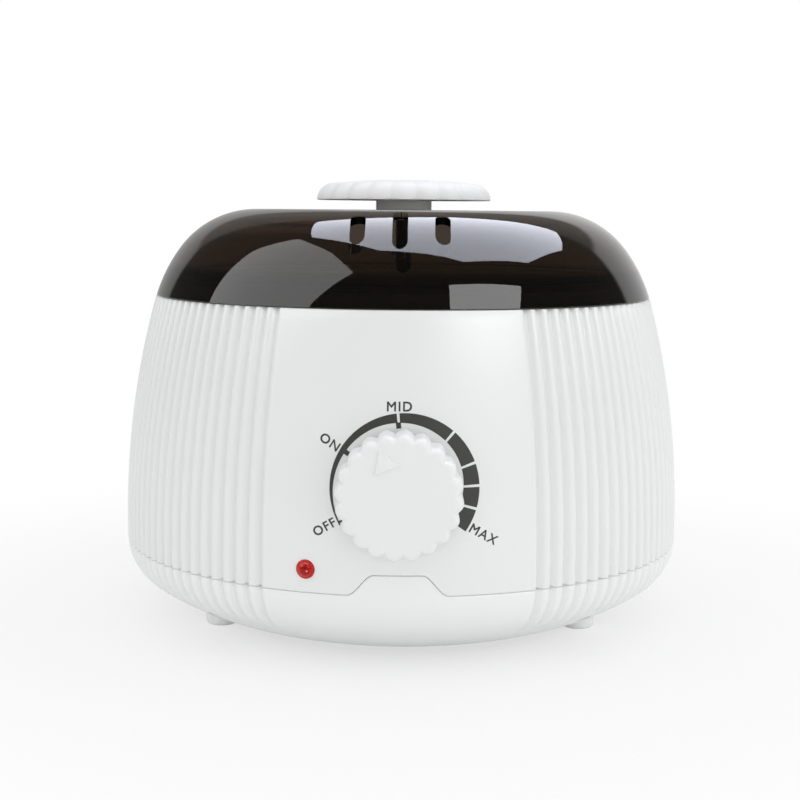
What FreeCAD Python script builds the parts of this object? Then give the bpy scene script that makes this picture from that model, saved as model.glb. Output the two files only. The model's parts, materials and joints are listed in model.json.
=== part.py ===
"""Wax warmer: a ribbed round housing with a heated well, a lift-out pot, a smoked lid and a dial.

Millimetres. The origin is on the body's axis at the level the feet stand on, +Z is up and the dial faces -Y.
"""
import FreeCAD
import Part
import math
import os

V = FreeCAD.Vector

# Body outline
body_radius = 92.5
side_radius = 270.0
straight_height = 6.7
housing_height = 80.5
wall = 2.4
seam_gap = 0.4
seam_step = 0.6
base_clearance = 2.5
corner_radius = 15.5
corner_turn = 57.0
lower_radius = 88.0
lower_turn = 16.0
base_edge_radius = 10.0
cut_overrun = 2.0

# Ribs: narrow grooves round the body, with a smooth panel left in front
pitches_per_turn = 124
panel_pitches = 18
groove_width = 1.3
groove_depth = 0.8

# Joint between housing and base
lip_thickness = 1.6
lip_height = 2.2
lip_depth = 4.0
lip_clearance = 0.2
tab_foot_width = 28.3
tab_top_width = 15.2
tab_height = 5.5

# Deck, collar and shelf at the top of the housing
collar_height = 4.2
collar_wall = 2.6
shelf_thickness = 2.4
shelf_bearing_width = 12.2

# Base screws and their posts
post_radius = 4.0
post_inset = 12.9
post_foot_drop = 1.9
boss_radius = 4.6
base_screw_radius = 1.5
base_screw_bite = 8.0
base_screw_head_radius = 2.8
base_screw_head_height = 2.0
base_screw_grip = 6.4
head_clearance = 0.5
thread_clearance = 0.05

# Feet
foot_radius = 5.2
foot_height = 3.6
foot_boss_radius = 5.7
foot_boss_height = 7.0
foot_stud_radius = 2.0
foot_stud_length = 4.0
foot_inset = 27.6
foot_turn = 24.9

# Lid
lid_height = 28.2
lid_wall = 2.2
lid_flat_inset = 33.2
lid_shoulder_share = 0.945
lid_skirt_turn = 11.8
lid_play = 1.8
vent_width = 4.5
vent_spacing = 12.5
vent_inset = 9.2
vent_low_share = 0.33
vent_middle_length = 18.0
vent_side_length = 13.5

# Lid knob and what holds it
knob_radius = 29.1
knob_height = 6.8
knob_edge_radius = 5.6
knob_crown_radius = 240.0
knob_scallops = 22
knob_scallop_depth = 0.8
stem_radius = 9.3
stem_height = 3.2
stud_radius = 1.5
stud_knob_bite = 4.0
stud_nut_bite = 9.0
washer_radius = 6.0
washer_thickness = 1.0
cap_nut_radius = 2.6
cap_nut_length = 17.5

# Pot, and the well that it hangs in
flange_inset = 2.0
flange_width = 16.7
flange_thickness = 1.5
well_wall = 1.5
well_corner_radius = 6.0
pot_gap = 1.5
pot_wall = 1.2
pot_depth = 58.0
pot_floor_gap = 1.0
pot_flange_width = 11.5
pot_lip_height = 2.8
well_screw_count = 3
well_screw_inset = 3.9
well_screw_radius = 1.5
well_screw_head_radius = 2.6
well_screw_head_height = 1.6
well_screw_boss_radius = 3.4
well_screw_boss_depth = 5.0

# Heater round the well
heater_gap = 0.1
heater_thickness = 1.4
heater_height = 30.0
heater_rise = 10.0
heater_tab_length = 5.0
heater_tab_width = 5.0
heater_tab_thickness = 1.0
clamp_thickness = 0.8
clamp_height = 14.0
clamp_lug_length = 8.0
clamp_lug_gap = 5.0
clamp_screw_radius = 1.5
clamp_screw_head_radius = 2.8
clamp_screw_head_height = 2.0
clamp_screw_tail = 3.0
insulation_gap = 0.3
insulation_thickness = 4.0
insulation_height = 36.0
insulation_rise = 4.0
insulation_notch_width = 14.0

# Dial and thermostat
dial_height = 56.7
dial_spot_depth = 1.0
dial_spot_radius = 9.5
dial_panel_thickness = 3.6
dial_pad_radius = 12.0
dial_hole_clearance = 0.2
dial_radius = 17.9
dial_depth = 11.4
dial_gap = 0.8
dial_wall = 2.4
dial_face = 3.0
dial_edge_radius = 2.2
dial_scallops = 20
dial_scallop_depth = 1.0
dial_hub_radius = 5.5
dial_hub_recess = 1.0
dial_rest_turn = 22.0
pointer_length = 5.0
pointer_width = 7.2
pointer_height = 0.9
shaft_radius = 3.0
shaft_flat = 1.0
shaft_clearance = 0.05
shaft_hub_bite = 6.0
shaft_tail = 5.0
shaft_collar_radius = 4.2
shaft_collar_thickness = 1.2
bush_radius = 5.0
bush_shoulder_radius = 9.0
bush_shoulder_thickness = 2.2
bush_thread_excess = 1.0
nut_across_flats = 14.0
nut_thickness = 2.4
thermostat_width = 30.0
thermostat_height = 24.0
thermostat_depth = 14.0
thermostat_bore_play = 0.5
thermostat_bore_floor = 3.0
terminal_spacing = 16.0
terminal_width = 5.0
terminal_thickness = 0.8
terminal_length = 9.0

# Indicator lamp
lamp_turn = 16.75
lamp_height = 33.2
lamp_spot_depth = 0.3
lamp_panel_thickness = 2.4
lamp_pad_radius = 5.0
lens_radius = 2.3
lens_flange_radius = 2.75
lens_flange_thickness = 0.7
lens_dome_height = 1.5
lens_tail = 3.0
lens_clearance = 0.1
retainer_radius = 3.8
retainer_thickness = 2.0
lamp_pin_spacing = 2.5

# Terminal block, fuse and inner wires
block_width = 26.0
block_depth = 14.0
block_height = 12.0
block_inset = 16.7
stake_radius = 1.5
stake_clearance = 0.1
wire_radius = 1.1
lamp_wire_radius = 0.6
wire_bend_radius = 6.6
fuse_x = -20.0
fuse_radius = 2.2
fuse_length = 14.0
fuse_lead_radius = 0.6
fuse_lead_length = 9.0
fuse_drop = 7.0
fuse_clearance = 0.05
clip_width = 10.0
clip_length = 8.0
clip_thickness = 1.2

# Cord gland in the rear wall
gland_height = 40.0
gland_bore_radius = 3.3
gland_neck_radius = 5.5
gland_flange_radius = 8.0
gland_flange_thickness = 2.0
gland_lock_radius = 6.8
gland_lock_thickness = 1.6
gland_spot_depth = 1.4
gland_spot_margin = 0.5
gland_panel_thickness = 3.0
gland_pad_radius = 9.5
gland_clearance = 0.05

right_angle = 90.0
full_turn = 360.0


def cos(degrees):
    return math.cos(math.radians(degrees))


def sin(degrees):
    return math.sin(math.radians(degrees))


# Heights and radii that follow from the outline
lower_end_turn = corner_turn + lower_turn
seam_z = (base_clearance + base_edge_radius * (1 - sin(lower_end_turn))
          + lower_radius * (sin(lower_end_turn) - sin(corner_turn)) + corner_radius * sin(corner_turn))
base_radius = body_radius - seam_step
post_circle_radius = base_radius - post_inset
foot_circle_radius = base_radius - foot_inset
widest_z = seam_z + straight_height
deck_z = seam_z + housing_height
shelf_z = deck_z + collar_height
floor_z = base_clearance + wall
side_centre = (body_radius - side_radius, widest_z)


def side_r(z):
    """Radius of the housing's side at a height."""
    return side_centre[0] + math.sqrt(side_radius ** 2 - max(z - widest_z, 0) ** 2)


def side_angle(z, inset=0.0):
    """Angle about the side's centre at a height, on the side or on the side moved in by an inset."""
    return math.degrees(math.asin((z - widest_z) / (side_radius - inset)))


top_radius = side_r(deck_z)
collar_radius = top_radius - lid_wall - lid_play
flange_radius = collar_radius - flange_inset
well_radius = flange_radius - flange_width
shelf_radius = flange_radius - shelf_bearing_width
pot_radius = well_radius - well_wall - pot_gap
pot_seat_z = shelf_z + flange_thickness
pot_low_z = pot_seat_z - pot_depth
well_low_z = pot_low_z - pot_floor_gap - well_wall
heater_low_z = well_low_z + heater_rise
heater_radius = well_radius + heater_gap + heater_thickness
clamp_radius = heater_radius + heater_gap
lid_top_z = deck_z + lid_height


class Profile:
    """A closed outline in the XZ plane, drawn from point to point and turned about the Z axis."""

    def __init__(self, r, z):
        self.start = V(r, 0, z)
        self.here = self.start
        self.edges = []

    def line(self, r, z):
        end = V(r, 0, z)
        if end.distanceToPoint(self.here) > Part.Precision.confusion():
            self.edges.append(Part.LineSegment(self.here, end).toShape())
        self.here = end
        return self

    def arc(self, centre, radius, first, last):
        """An arc about a centre (r, z) between two angles, joined to what went before by a line."""
        first_point, middle, end = (V(centre[0] + radius * cos(angle), 0, centre[1] + radius * sin(angle))
                                    for angle in (first, (first + last) / 2, last))
        self.line(first_point.x, first_point.z)
        self.edges.append(Part.Arc(self.here, middle, end).toShape())
        self.here = end
        return self

    def face(self):
        self.line(self.start.x, self.start.z)
        return Part.Face(Part.Wire(self.edges))

    def turned(self):
        return self.face().revolve(V(), V(0, 0, 1), full_turn)


def tube(outer, inner, low, high):
    return Profile(inner, low).line(outer, low).line(outer, high).line(inner, high).turned()


def rod(radius, low, high, x=0.0, y=0.0):
    return Part.makeCylinder(radius, high - low, V(x, y, low))


def block(width, depth, height, x, y, low):
    """A box centred on x and y and standing on a height."""
    return Part.makeBox(width, depth, height, V(x - width / 2, y - depth / 2, low))


def faced(shape, height, turn=0.0):
    """Turn a shape drawn along +Z, with +Y as its top, to face the front at a height and a turn about Z."""
    shape = shape.rotated(V(), V(1, 0, 0), right_angle).translated(V(0, 0, height))
    return shape.rotated(V(), V(0, 0, 1), turn)


def spread(shape, angles):
    return [shape.rotated(V(), V(0, 0, 1), angle) for angle in angles]


def turned_point(point, angle):
    return FreeCAD.Rotation(V(0, 0, 1), angle).multVec(point)


def joined(first, *others):
    return first.fuse(list(others)).removeSplitter()


# Outline of the base: three tangent arcs under the seam
def centre_after(centre, radius, turn, next_radius):
    reach = radius - next_radius
    return (centre[0] + reach * cos(turn), centre[1] - reach * sin(turn))


corner_centre = (base_radius - corner_radius, seam_z)
lower_centre = centre_after(corner_centre, corner_radius, corner_turn, lower_radius)
edge_centre = centre_after(lower_centre, lower_radius, lower_end_turn, base_edge_radius)


def base_fill(inset, top):
    """The base as a full body, moved in by an inset and cut off at a height."""
    outline = Profile(0, top).line(base_radius - inset, top)
    outline.arc(corner_centre, corner_radius - inset, 0, -corner_turn)
    outline.arc(lower_centre, lower_radius - inset, -corner_turn, -lower_end_turn)
    outline.arc(edge_centre, base_edge_radius - inset, -lower_end_turn, -right_angle)
    return outline.line(0, base_clearance + inset).turned()


def housing_fill():
    """The housing as a full body up to its deck."""
    outline = Profile(0, seam_z + seam_gap).line(body_radius, seam_z + seam_gap).line(body_radius, widest_z)
    return outline.arc(side_centre, side_radius, 0, side_angle(deck_z)).line(0, deck_z).turned()


# Grooves
groove_angles = [-right_angle + (panel_pitches / 2 + step) * full_turn / pitches_per_turn
                 for step in range(pitches_per_turn - panel_pitches + 1)]


def groove_cutters(outline):
    blade = outline.face().translated(V(0, -groove_width / 2, 0)).extrude(V(0, groove_width, 0))
    return Part.makeCompound(spread(blade, groove_angles))


def housing_grooves():
    inner = body_radius - groove_depth
    outer = body_radius + cut_overrun
    last = side_angle(deck_z + cut_overrun)
    outline = Profile(inner, seam_z).line(inner, widest_z)
    outline.arc(side_centre, side_radius - groove_depth, 0, last)
    outline.arc(side_centre, side_radius + cut_overrun, last, 0)
    return groove_cutters(outline.line(outer, seam_z))


def base_grooves():
    top = seam_z + cut_overrun
    outline = Profile(base_radius - groove_depth, top)
    outline.arc(corner_centre, corner_radius - groove_depth, 0, -corner_turn)
    outline.arc(corner_centre, corner_radius + cut_overrun, -corner_turn, 0)
    return groove_cutters(outline.line(base_radius + cut_overrun, top))


def tab_prism(grow):
    """The front tab's outline, with an S-shaped flank on each side, as a prism through the front wall."""
    foot = tab_foot_width / 2 + grow
    top = tab_top_width / 2 + grow
    low = seam_z - lip_depth
    high = seam_z + tab_height + grow
    middle_r = (foot + top) / 2
    middle_z = (seam_z + high) / 2
    run = foot - top
    rise = high - seam_z
    radius = (run ** 2 + rise ** 2) / (4 * rise)
    bow = math.degrees(math.atan2(rise, run))

    def flank(side):
        lower = Part.Arc(V(side * foot, 0, seam_z),
                         V(side * (foot - radius * sin(bow)), 0, seam_z + radius * (1 - cos(bow))),
                         V(side * middle_r, 0, middle_z)).toShape()
        upper = Part.Arc(V(side * middle_r, 0, middle_z),
                         V(side * (top + radius * sin(bow)), 0, high - radius * (1 - cos(bow))),
                         V(side * top, 0, high)).toShape()
        return [lower, upper]

    def straight(start, end):
        return Part.LineSegment(V(start[0], 0, start[1]), V(end[0], 0, end[1])).toShape()

    edges = [straight((-foot, low), (foot, low)), straight((foot, low), (foot, seam_z)), *flank(1),
             straight((top, high), (-top, high)), *reversed(flank(-1)), straight((-foot, seam_z), (-foot, low))]
    face = Part.Face(Part.Wire(Part.__sortEdges__(edges)))
    return face.translated(V(0, -body_radius - cut_overrun, 0)).extrude(V(0, body_radius, 0))


# Seats in the housing wall, drawn along +Z as distance out from the axis
dial_out = side_r(dial_height)
dial_spot_z = dial_out - dial_spot_depth
dial_pad_z = dial_spot_z - dial_panel_thickness
lamp_out = side_r(lamp_height)
lamp_spot_z = lamp_out - lamp_spot_depth
lamp_pad_z = lamp_spot_z - lamp_panel_thickness
gland_out = side_r(gland_height)
gland_spot_z = gland_out - gland_spot_depth
gland_pad_z = gland_spot_z - gland_panel_thickness
rear_turn = 2 * right_angle

post_angles = [right_angle / 2 + quarter * right_angle for quarter in range(4)]
well_screw_angles = [right_angle + step * full_turn / well_screw_count for step in range(well_screw_count)]
well_screw_circle = flange_radius - well_screw_inset
post_low_z = seam_z - post_foot_drop


def outer_housing():
    under_deck = deck_z - wall
    outline = Profile(top_radius, deck_z)
    outline.arc(side_centre, side_radius, side_angle(deck_z), 0).line(body_radius, seam_z + seam_gap)
    outline.line(body_radius - wall, seam_z + seam_gap)
    outline.arc(side_centre, side_radius - wall, 0, side_angle(under_deck, wall))
    outline.line(collar_radius - collar_wall, under_deck)
    outline.line(collar_radius - collar_wall, shelf_z - shelf_thickness)
    outline.line(shelf_radius, shelf_z - shelf_thickness).line(shelf_radius, shelf_z)
    shell = outline.line(collar_radius, shelf_z).line(collar_radius, deck_z).turned()

    full = housing_fill()
    posts = spread(rod(post_radius, post_low_z, under_deck, post_circle_radius), post_angles)
    pads = [faced(rod(dial_pad_radius, dial_pad_z, dial_out), dial_height),
            faced(rod(lamp_pad_radius, lamp_pad_z, lamp_out), lamp_height, -lamp_turn),
            faced(rod(gland_pad_radius, gland_pad_z, gland_out), gland_height, rear_turn)]
    bosses = spread(rod(well_screw_boss_radius, shelf_z - shelf_thickness - well_screw_boss_depth,
                        shelf_z - shelf_thickness, well_screw_circle), well_screw_angles)
    shell = joined(shell, *[piece.common(full) for piece in posts + pads], *bosses)

    far = body_radius + cut_overrun
    screw_bore = base_screw_radius + thread_clearance
    well_bore = well_screw_radius + thread_clearance
    holes = [
        faced(rod(dial_spot_radius, dial_spot_z, far), dial_height),
        faced(rod(bush_radius + dial_hole_clearance, dial_pad_z - cut_overrun, far), dial_height),
        faced(rod(lens_flange_radius + lens_clearance, lamp_spot_z, far), lamp_height, -lamp_turn),
        faced(rod(lens_radius + lens_clearance, lamp_pad_z - cut_overrun, far), lamp_height, -lamp_turn),
        faced(rod(gland_flange_radius + gland_spot_margin, gland_spot_z, far), gland_height, rear_turn),
        faced(rod(gland_neck_radius + gland_clearance, gland_pad_z - cut_overrun, far), gland_height, rear_turn),
        *spread(rod(screw_bore, post_low_z - cut_overrun, post_low_z + base_screw_bite + cut_overrun,
                    post_circle_radius), post_angles),
        *spread(rod(well_bore, shelf_z - shelf_thickness - well_screw_boss_depth, shelf_z + cut_overrun,
                    well_screw_circle), well_screw_angles),
        tab_prism(seam_gap),
    ]
    return shell.cut(holes).cut(housing_grooves())


stake_spots = [-block_width / 4, block_width / 4]
block_y = edge_centre[0] - block_inset - block_depth / 2
foot_x = foot_circle_radius * cos(foot_turn)
foot_y = foot_circle_radius * sin(foot_turn)
foot_spots = {"front_left": (-foot_x, -foot_y), "front_right": (foot_x, -foot_y),
              "rear_left": (-foot_x, foot_y), "rear_right": (foot_x, foot_y)}
base_screw_head_z = post_low_z - base_screw_grip


def base_cover():
    full = base_fill(0, seam_z)
    shell = full.cut(base_fill(wall, seam_z + cut_overrun))
    lip_radius = body_radius - wall - lip_clearance
    lip = tube(lip_radius, lip_radius - lip_thickness, seam_z - lip_depth, seam_z + lip_height)
    tab = tube(base_radius, base_radius - wall, seam_z - lip_depth / 2, seam_z + tab_height)
    tab = tab.common(tab_prism(0))
    bosses = spread(rod(boss_radius, 0, post_low_z, post_circle_radius), post_angles)
    foot_bosses = [rod(foot_boss_radius, foot_height, foot_height + foot_boss_height, x, y)
                   for x, y in foot_spots.values()]
    stakes = [rod(stake_radius, base_clearance + wall / 2, floor_z + block_height, x, block_y)
              for x in stake_spots]
    inner_bosses = [boss.common(full) for boss in bosses]
    shell = joined(shell, lip, tab, *inner_bosses, *foot_bosses, *stakes)

    stud_hole = foot_stud_radius + thread_clearance
    holes = [
        *spread(rod(base_screw_radius + head_clearance, 0, seam_z, post_circle_radius), post_angles),
        *spread(rod(base_screw_head_radius + head_clearance, 0, base_screw_head_z, post_circle_radius),
                post_angles),
        *[rod(foot_boss_radius, 0, foot_height, x, y) for x, y in foot_spots.values()],
        *[rod(stud_hole, 0, foot_height + foot_stud_length + thread_clearance, x, y)
          for x, y in foot_spots.values()],
    ]
    return shell.cut(holes).cut(base_grooves())


def foot(x, y):
    pad = rod(foot_radius, 0, foot_height, x, y)
    return joined(pad, rod(foot_stud_radius, foot_height, foot_height + foot_stud_length, x, y))


def base_screws():
    head = rod(base_screw_head_radius, base_screw_head_z - base_screw_head_height, base_screw_head_z,
               post_circle_radius)
    shank = rod(base_screw_radius, base_screw_head_z, post_low_z + base_screw_bite, post_circle_radius)
    return Part.makeCompound(spread(joined(head, shank), post_angles))


# Outline of the lid: a flat top, a round shoulder and a skirt that meets the housing's edge
lid_flat_radius = top_radius - lid_flat_inset
shoulder_radius = lid_flat_inset * lid_shoulder_share
shoulder_centre = (lid_flat_radius, lid_top_z - shoulder_radius)


def lid_joint_angle():
    """Angle on the shoulder where the skirt starts, a little above its tangent to the rim."""
    across = top_radius - shoulder_centre[0]
    down = deck_z - shoulder_centre[1]
    tangent = math.degrees(math.acos(shoulder_radius / math.hypot(across, down)))
    return math.degrees(math.atan2(down, across)) + tangent + lid_skirt_turn


shoulder_end = lid_joint_angle()
skirt_top = (shoulder_centre[0] + shoulder_radius * cos(shoulder_end),
             shoulder_centre[1] + shoulder_radius * sin(shoulder_end))
skirt_across = top_radius - skirt_top[0]
skirt_down = deck_z - skirt_top[1]
skirt_radius = (-(skirt_across ** 2 + skirt_down ** 2)
                / (2 * (skirt_across * cos(shoulder_end) + skirt_down * sin(shoulder_end))))
skirt_centre = (skirt_top[0] - skirt_radius * cos(shoulder_end), skirt_top[1] - skirt_radius * sin(shoulder_end))


def lid_fill(inset):
    rim_angle = math.degrees(math.asin((deck_z - skirt_centre[1]) / (skirt_radius - inset)))
    outline = Profile(0, deck_z)
    outline.arc(skirt_centre, skirt_radius - inset, rim_angle, shoulder_end)
    outline.arc(shoulder_centre, shoulder_radius - inset, shoulder_end, right_angle)
    return outline.line(0, lid_top_z - inset).turned()


def vent(x, length):
    """A round-ended slot cut straight down through the lid's front shoulder."""
    front = -math.sqrt((top_radius - vent_inset) ** 2 - x ** 2) + vent_width / 2
    rear = front + length - vent_width
    low = deck_z + lid_height * vent_low_share
    high = lid_top_z + cut_overrun
    middle = block(vent_width, rear - front, high - low, x, (front + rear) / 2, low)
    return joined(middle, rod(vent_width / 2, low, high, x, front), rod(vent_width / 2, low, high, x, rear))


def lid_dome():
    shell = lid_fill(0).cut(lid_fill(lid_wall))
    hole = rod(stud_radius + head_clearance, deck_z, lid_top_z + cut_overrun)
    return shell.cut([hole, vent(0, vent_middle_length), vent(-vent_spacing, vent_side_length),
                      vent(vent_spacing, vent_side_length)])


def scalloped(radius, depth, count, low, high):
    """A prism with a ring of round lobes."""
    edges = []
    step = full_turn / count
    valley = radius - depth
    for lobe in range(count):
        start, middle, end = lobe * step, (lobe + 1 / 2) * step, (lobe + 1) * step
        edges.append(Part.Arc(V(valley * cos(start), valley * sin(start), low),
                              V(radius * cos(middle), radius * sin(middle), low),
                              V(valley * cos(end), valley * sin(end), low)).toShape())
    return Part.Face(Part.Wire(edges)).extrude(V(0, 0, high - low))


knob_low_z = lid_top_z + stem_height
knob_top_z = knob_low_z + knob_height
under_lid_z = lid_top_z - lid_wall
nut_top_z = under_lid_z - washer_thickness


def lid_knob():
    crown_drop = knob_crown_radius - math.sqrt(knob_crown_radius ** 2 - (knob_radius - knob_edge_radius) ** 2)
    edge_centre_z = knob_top_z - crown_drop - knob_edge_radius
    crown_angle = math.degrees(math.acos((knob_radius - knob_edge_radius) / knob_crown_radius))
    outline = Profile(0, knob_low_z).line(knob_radius, knob_low_z)
    outline.arc((knob_radius - knob_edge_radius, edge_centre_z), knob_edge_radius, 0, crown_angle)
    outline.arc((0, knob_top_z - knob_crown_radius), knob_crown_radius, crown_angle, right_angle)
    dome = outline.turned()
    knob = dome.common(scalloped(knob_radius, knob_scallop_depth, knob_scallops, knob_low_z, knob_top_z))
    return knob.cut(rod(stud_radius + thread_clearance, knob_low_z, knob_low_z + stud_knob_bite))


def lid_knob_stem():
    return tube(stem_radius, stud_radius + head_clearance, lid_top_z, knob_low_z)


def lid_washer():
    return tube(washer_radius, stud_radius + head_clearance, nut_top_z, under_lid_z)


def lid_stud():
    return rod(stud_radius, nut_top_z - stud_nut_bite, knob_low_z + stud_knob_bite)


def lid_cap_nut():
    low = nut_top_z - cap_nut_length
    outline = Profile(0, nut_top_z).line(cap_nut_radius, nut_top_z)
    outline.arc((0, low + cap_nut_radius), cap_nut_radius, 0, -right_angle)
    return outline.turned().cut(rod(stud_radius + thread_clearance, nut_top_z - stud_nut_bite, nut_top_z))


def cup(radius, thickness, corner, rim_z, low_z):
    """An open cup with a round corner between its wall and its floor."""
    inner = radius - thickness
    outline = Profile(0, low_z)
    outline.arc((radius - corner, low_z + corner), corner, -right_angle, 0).line(radius, rim_z)
    outline.line(inner, rim_z)
    outline.arc((radius - corner, low_z + corner), corner - thickness, 0, -right_angle)
    return outline.line(0, low_z + thickness).turned()


def wax_pot():
    body = cup(pot_radius, pot_wall, well_corner_radius - pot_gap, pot_seat_z + pot_wall, pot_low_z)
    rim = pot_radius + pot_flange_width
    flange = tube(rim, pot_radius - pot_wall, pot_seat_z, pot_seat_z + pot_wall)
    lip = tube(rim, rim - pot_wall, pot_seat_z, pot_seat_z + pot_lip_height)
    return joined(body, flange, lip)


def heating_well():
    body = cup(well_radius, well_wall, well_corner_radius, pot_seat_z, well_low_z)
    flange = tube(flange_radius, well_radius - well_wall, shelf_z, pot_seat_z)
    holes = spread(rod(well_screw_radius + head_clearance, shelf_z, pot_seat_z, well_screw_circle),
                   well_screw_angles)
    return joined(body, flange).cut(holes)


def well_screws():
    head = rod(well_screw_head_radius, pot_seat_z, pot_seat_z + well_screw_head_height, well_screw_circle)
    shank = rod(well_screw_radius, shelf_z - shelf_thickness - well_screw_boss_depth, pot_seat_z,
                well_screw_circle)
    return Part.makeCompound(spread(joined(head, shank), well_screw_angles))


heater_tab_r = heater_radius + heater_tab_length / 2
terminal_x = terminal_spacing / 2
heater_tab_spots = [(x, -math.sqrt(heater_tab_r ** 2 - x ** 2)) for x in (-terminal_x, fuse_x)]


def heater_band():
    band = tube(heater_radius, well_radius + heater_gap, heater_low_z, heater_low_z + heater_height)
    tab = block(heater_tab_length + heater_thickness, heater_tab_width, heater_tab_thickness,
                heater_radius + (heater_tab_length - heater_thickness) / 2, 0, heater_low_z)
    angles = [math.degrees(math.atan2(y, x)) for x, y in heater_tab_spots]
    return joined(band, *spread(tab, angles))


clamp_low_z = heater_low_z + (heater_height - clamp_height) / 2
clamp_screw_z = clamp_low_z + clamp_height / 2
clamp_screw_x = clamp_radius + clamp_thickness + clamp_lug_length / 2
lug_outer_y = clamp_lug_gap / 2 + clamp_thickness


def heater_clamp():
    strap = tube(clamp_radius + clamp_thickness, clamp_radius, clamp_low_z, clamp_low_z + clamp_height)
    strap = strap.cut(block(clamp_radius, clamp_lug_gap, clamp_height, clamp_radius, 0, clamp_low_z))
    reach = clamp_lug_length + clamp_thickness
    lugs = [block(reach, clamp_thickness, clamp_height, clamp_radius + reach / 2,
                  side * (clamp_lug_gap + clamp_thickness) / 2, clamp_low_z) for side in (-1, 1)]
    lugs = [lug.cut(rod(clamp_radius, clamp_low_z, clamp_low_z + clamp_height)) for lug in lugs]
    hole = Part.makeCylinder(clamp_screw_radius + thread_clearance, 2 * lug_outer_y,
                             V(clamp_screw_x, -lug_outer_y, clamp_screw_z), V(0, 1, 0))
    return joined(strap, *lugs).cut(hole)


def clamp_screw():
    head = Part.makeCylinder(clamp_screw_head_radius, clamp_screw_head_height,
                             V(clamp_screw_x, -lug_outer_y - clamp_screw_head_height, clamp_screw_z), V(0, 1, 0))
    shank = Part.makeCylinder(clamp_screw_radius, 2 * lug_outer_y + clamp_screw_tail,
                              V(clamp_screw_x, -lug_outer_y, clamp_screw_z), V(0, 1, 0))
    return joined(head, shank)


def insulation_wrap():
    inner = clamp_radius + clamp_thickness + insulation_gap
    low = heater_low_z + insulation_rise
    wrap = tube(inner + insulation_thickness, inner, low, low + insulation_height)
    notch = block(inner + insulation_thickness, insulation_notch_width, insulation_height,
                  inner + insulation_thickness / 2, 0, low)
    return wrap.cut(notch)


# Thermostat and dial, drawn along +Z as distance out from the axis
bush_back_z = dial_pad_z - bush_shoulder_thickness
thermostat_back_z = bush_back_z - thermostat_depth
dial_back_z = body_radius + dial_gap
dial_front_z = dial_back_z + dial_depth
hub_back_z = dial_back_z + dial_hub_recess
shaft_end_z = hub_back_z + shaft_hub_bite


def thermostat_bush():
    shoulder = tube(bush_shoulder_radius, shaft_radius + shaft_clearance, bush_back_z, dial_pad_z)
    barrel = tube(bush_radius, shaft_radius + shaft_clearance, dial_pad_z,
                  dial_spot_z + nut_thickness + bush_thread_excess)
    return faced(joined(shoulder, barrel), dial_height)


def thermostat_nut():
    corner = nut_across_flats / 2 / cos(right_angle / 3)
    ring = [V(corner * cos(step * full_turn / 6), corner * sin(step * full_turn / 6), dial_spot_z)
            for step in range(7)]
    hexagon = Part.Face(Part.makePolygon(ring)).extrude(V(0, 0, nut_thickness))
    bore = rod(bush_radius + thread_clearance, dial_spot_z, dial_spot_z + nut_thickness)
    return faced(hexagon.cut(bore), dial_height)


def thermostat_body():
    body = block(thermostat_width, thermostat_height, thermostat_depth, 0, 0, thermostat_back_z)
    bore = rod(shaft_collar_radius + thermostat_bore_play, thermostat_back_z + thermostat_bore_floor, bush_back_z)
    return faced(body.cut(bore), dial_height)


def thermostat_terminals():
    middle = (thermostat_back_z + bush_back_z) / 2
    drop = -(thermostat_height + terminal_length) / 2
    tabs = [block(terminal_width, terminal_length, terminal_thickness, x, drop, middle - terminal_thickness / 2)
            for x in (-terminal_x, terminal_x)]
    return faced(Part.makeCompound(tabs), dial_height)


def shaft_section(radius, low, high, flat):
    """A round bar with one flat along it, on the side of +Y."""
    bar = rod(radius, low, high)
    return bar.cut(block(2 * radius, radius, high - low, 0, radius - flat + radius / 2, low))


def thermostat_shaft():
    plain = rod(shaft_radius, bush_back_z - shaft_tail, hub_back_z)
    collar = rod(shaft_collar_radius, bush_back_z - shaft_collar_thickness, bush_back_z)
    driven = shaft_section(shaft_radius, hub_back_z, shaft_end_z, shaft_flat)
    return faced(joined(plain, collar, driven).rotated(V(), V(0, 0, 1), dial_rest_turn), dial_height)


def dial_knob():
    outline = Profile(0, dial_back_z).line(dial_radius, dial_back_z)
    outline.arc((dial_radius - dial_edge_radius, dial_front_z - dial_edge_radius), dial_edge_radius,
                0, right_angle)
    body = outline.line(0, dial_front_z).turned()
    body = body.common(scalloped(dial_radius, dial_scallop_depth, dial_scallops, dial_back_z, dial_front_z))
    hollow_radius = dial_radius - dial_scallop_depth - dial_wall
    body = body.cut(rod(hollow_radius, dial_back_z, dial_front_z - dial_face))
    hub = rod(dial_hub_radius, hub_back_z, dial_front_z - dial_face)
    rim = dial_radius - dial_scallop_depth - dial_edge_radius
    tail = rim - pointer_length
    arrow = [V(0, rim, dial_front_z), V(-pointer_width / 2, tail, dial_front_z),
             V(pointer_width / 2, tail, dial_front_z), V(0, rim, dial_front_z)]
    pointer = Part.Face(Part.makePolygon(arrow)).extrude(V(0, 0, pointer_height))
    body = joined(body, hub, pointer)
    bore = shaft_section(shaft_radius + shaft_clearance, hub_back_z, shaft_end_z + shaft_clearance, shaft_flat)
    return faced(body.cut(bore).rotated(V(), V(0, 0, 1), dial_rest_turn), dial_height)


# Indicator lamp, drawn along +Z as distance out from the axis
lens_back_z = lamp_pad_z - lens_tail
retainer_back_z = lamp_pad_z - retainer_thickness


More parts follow.
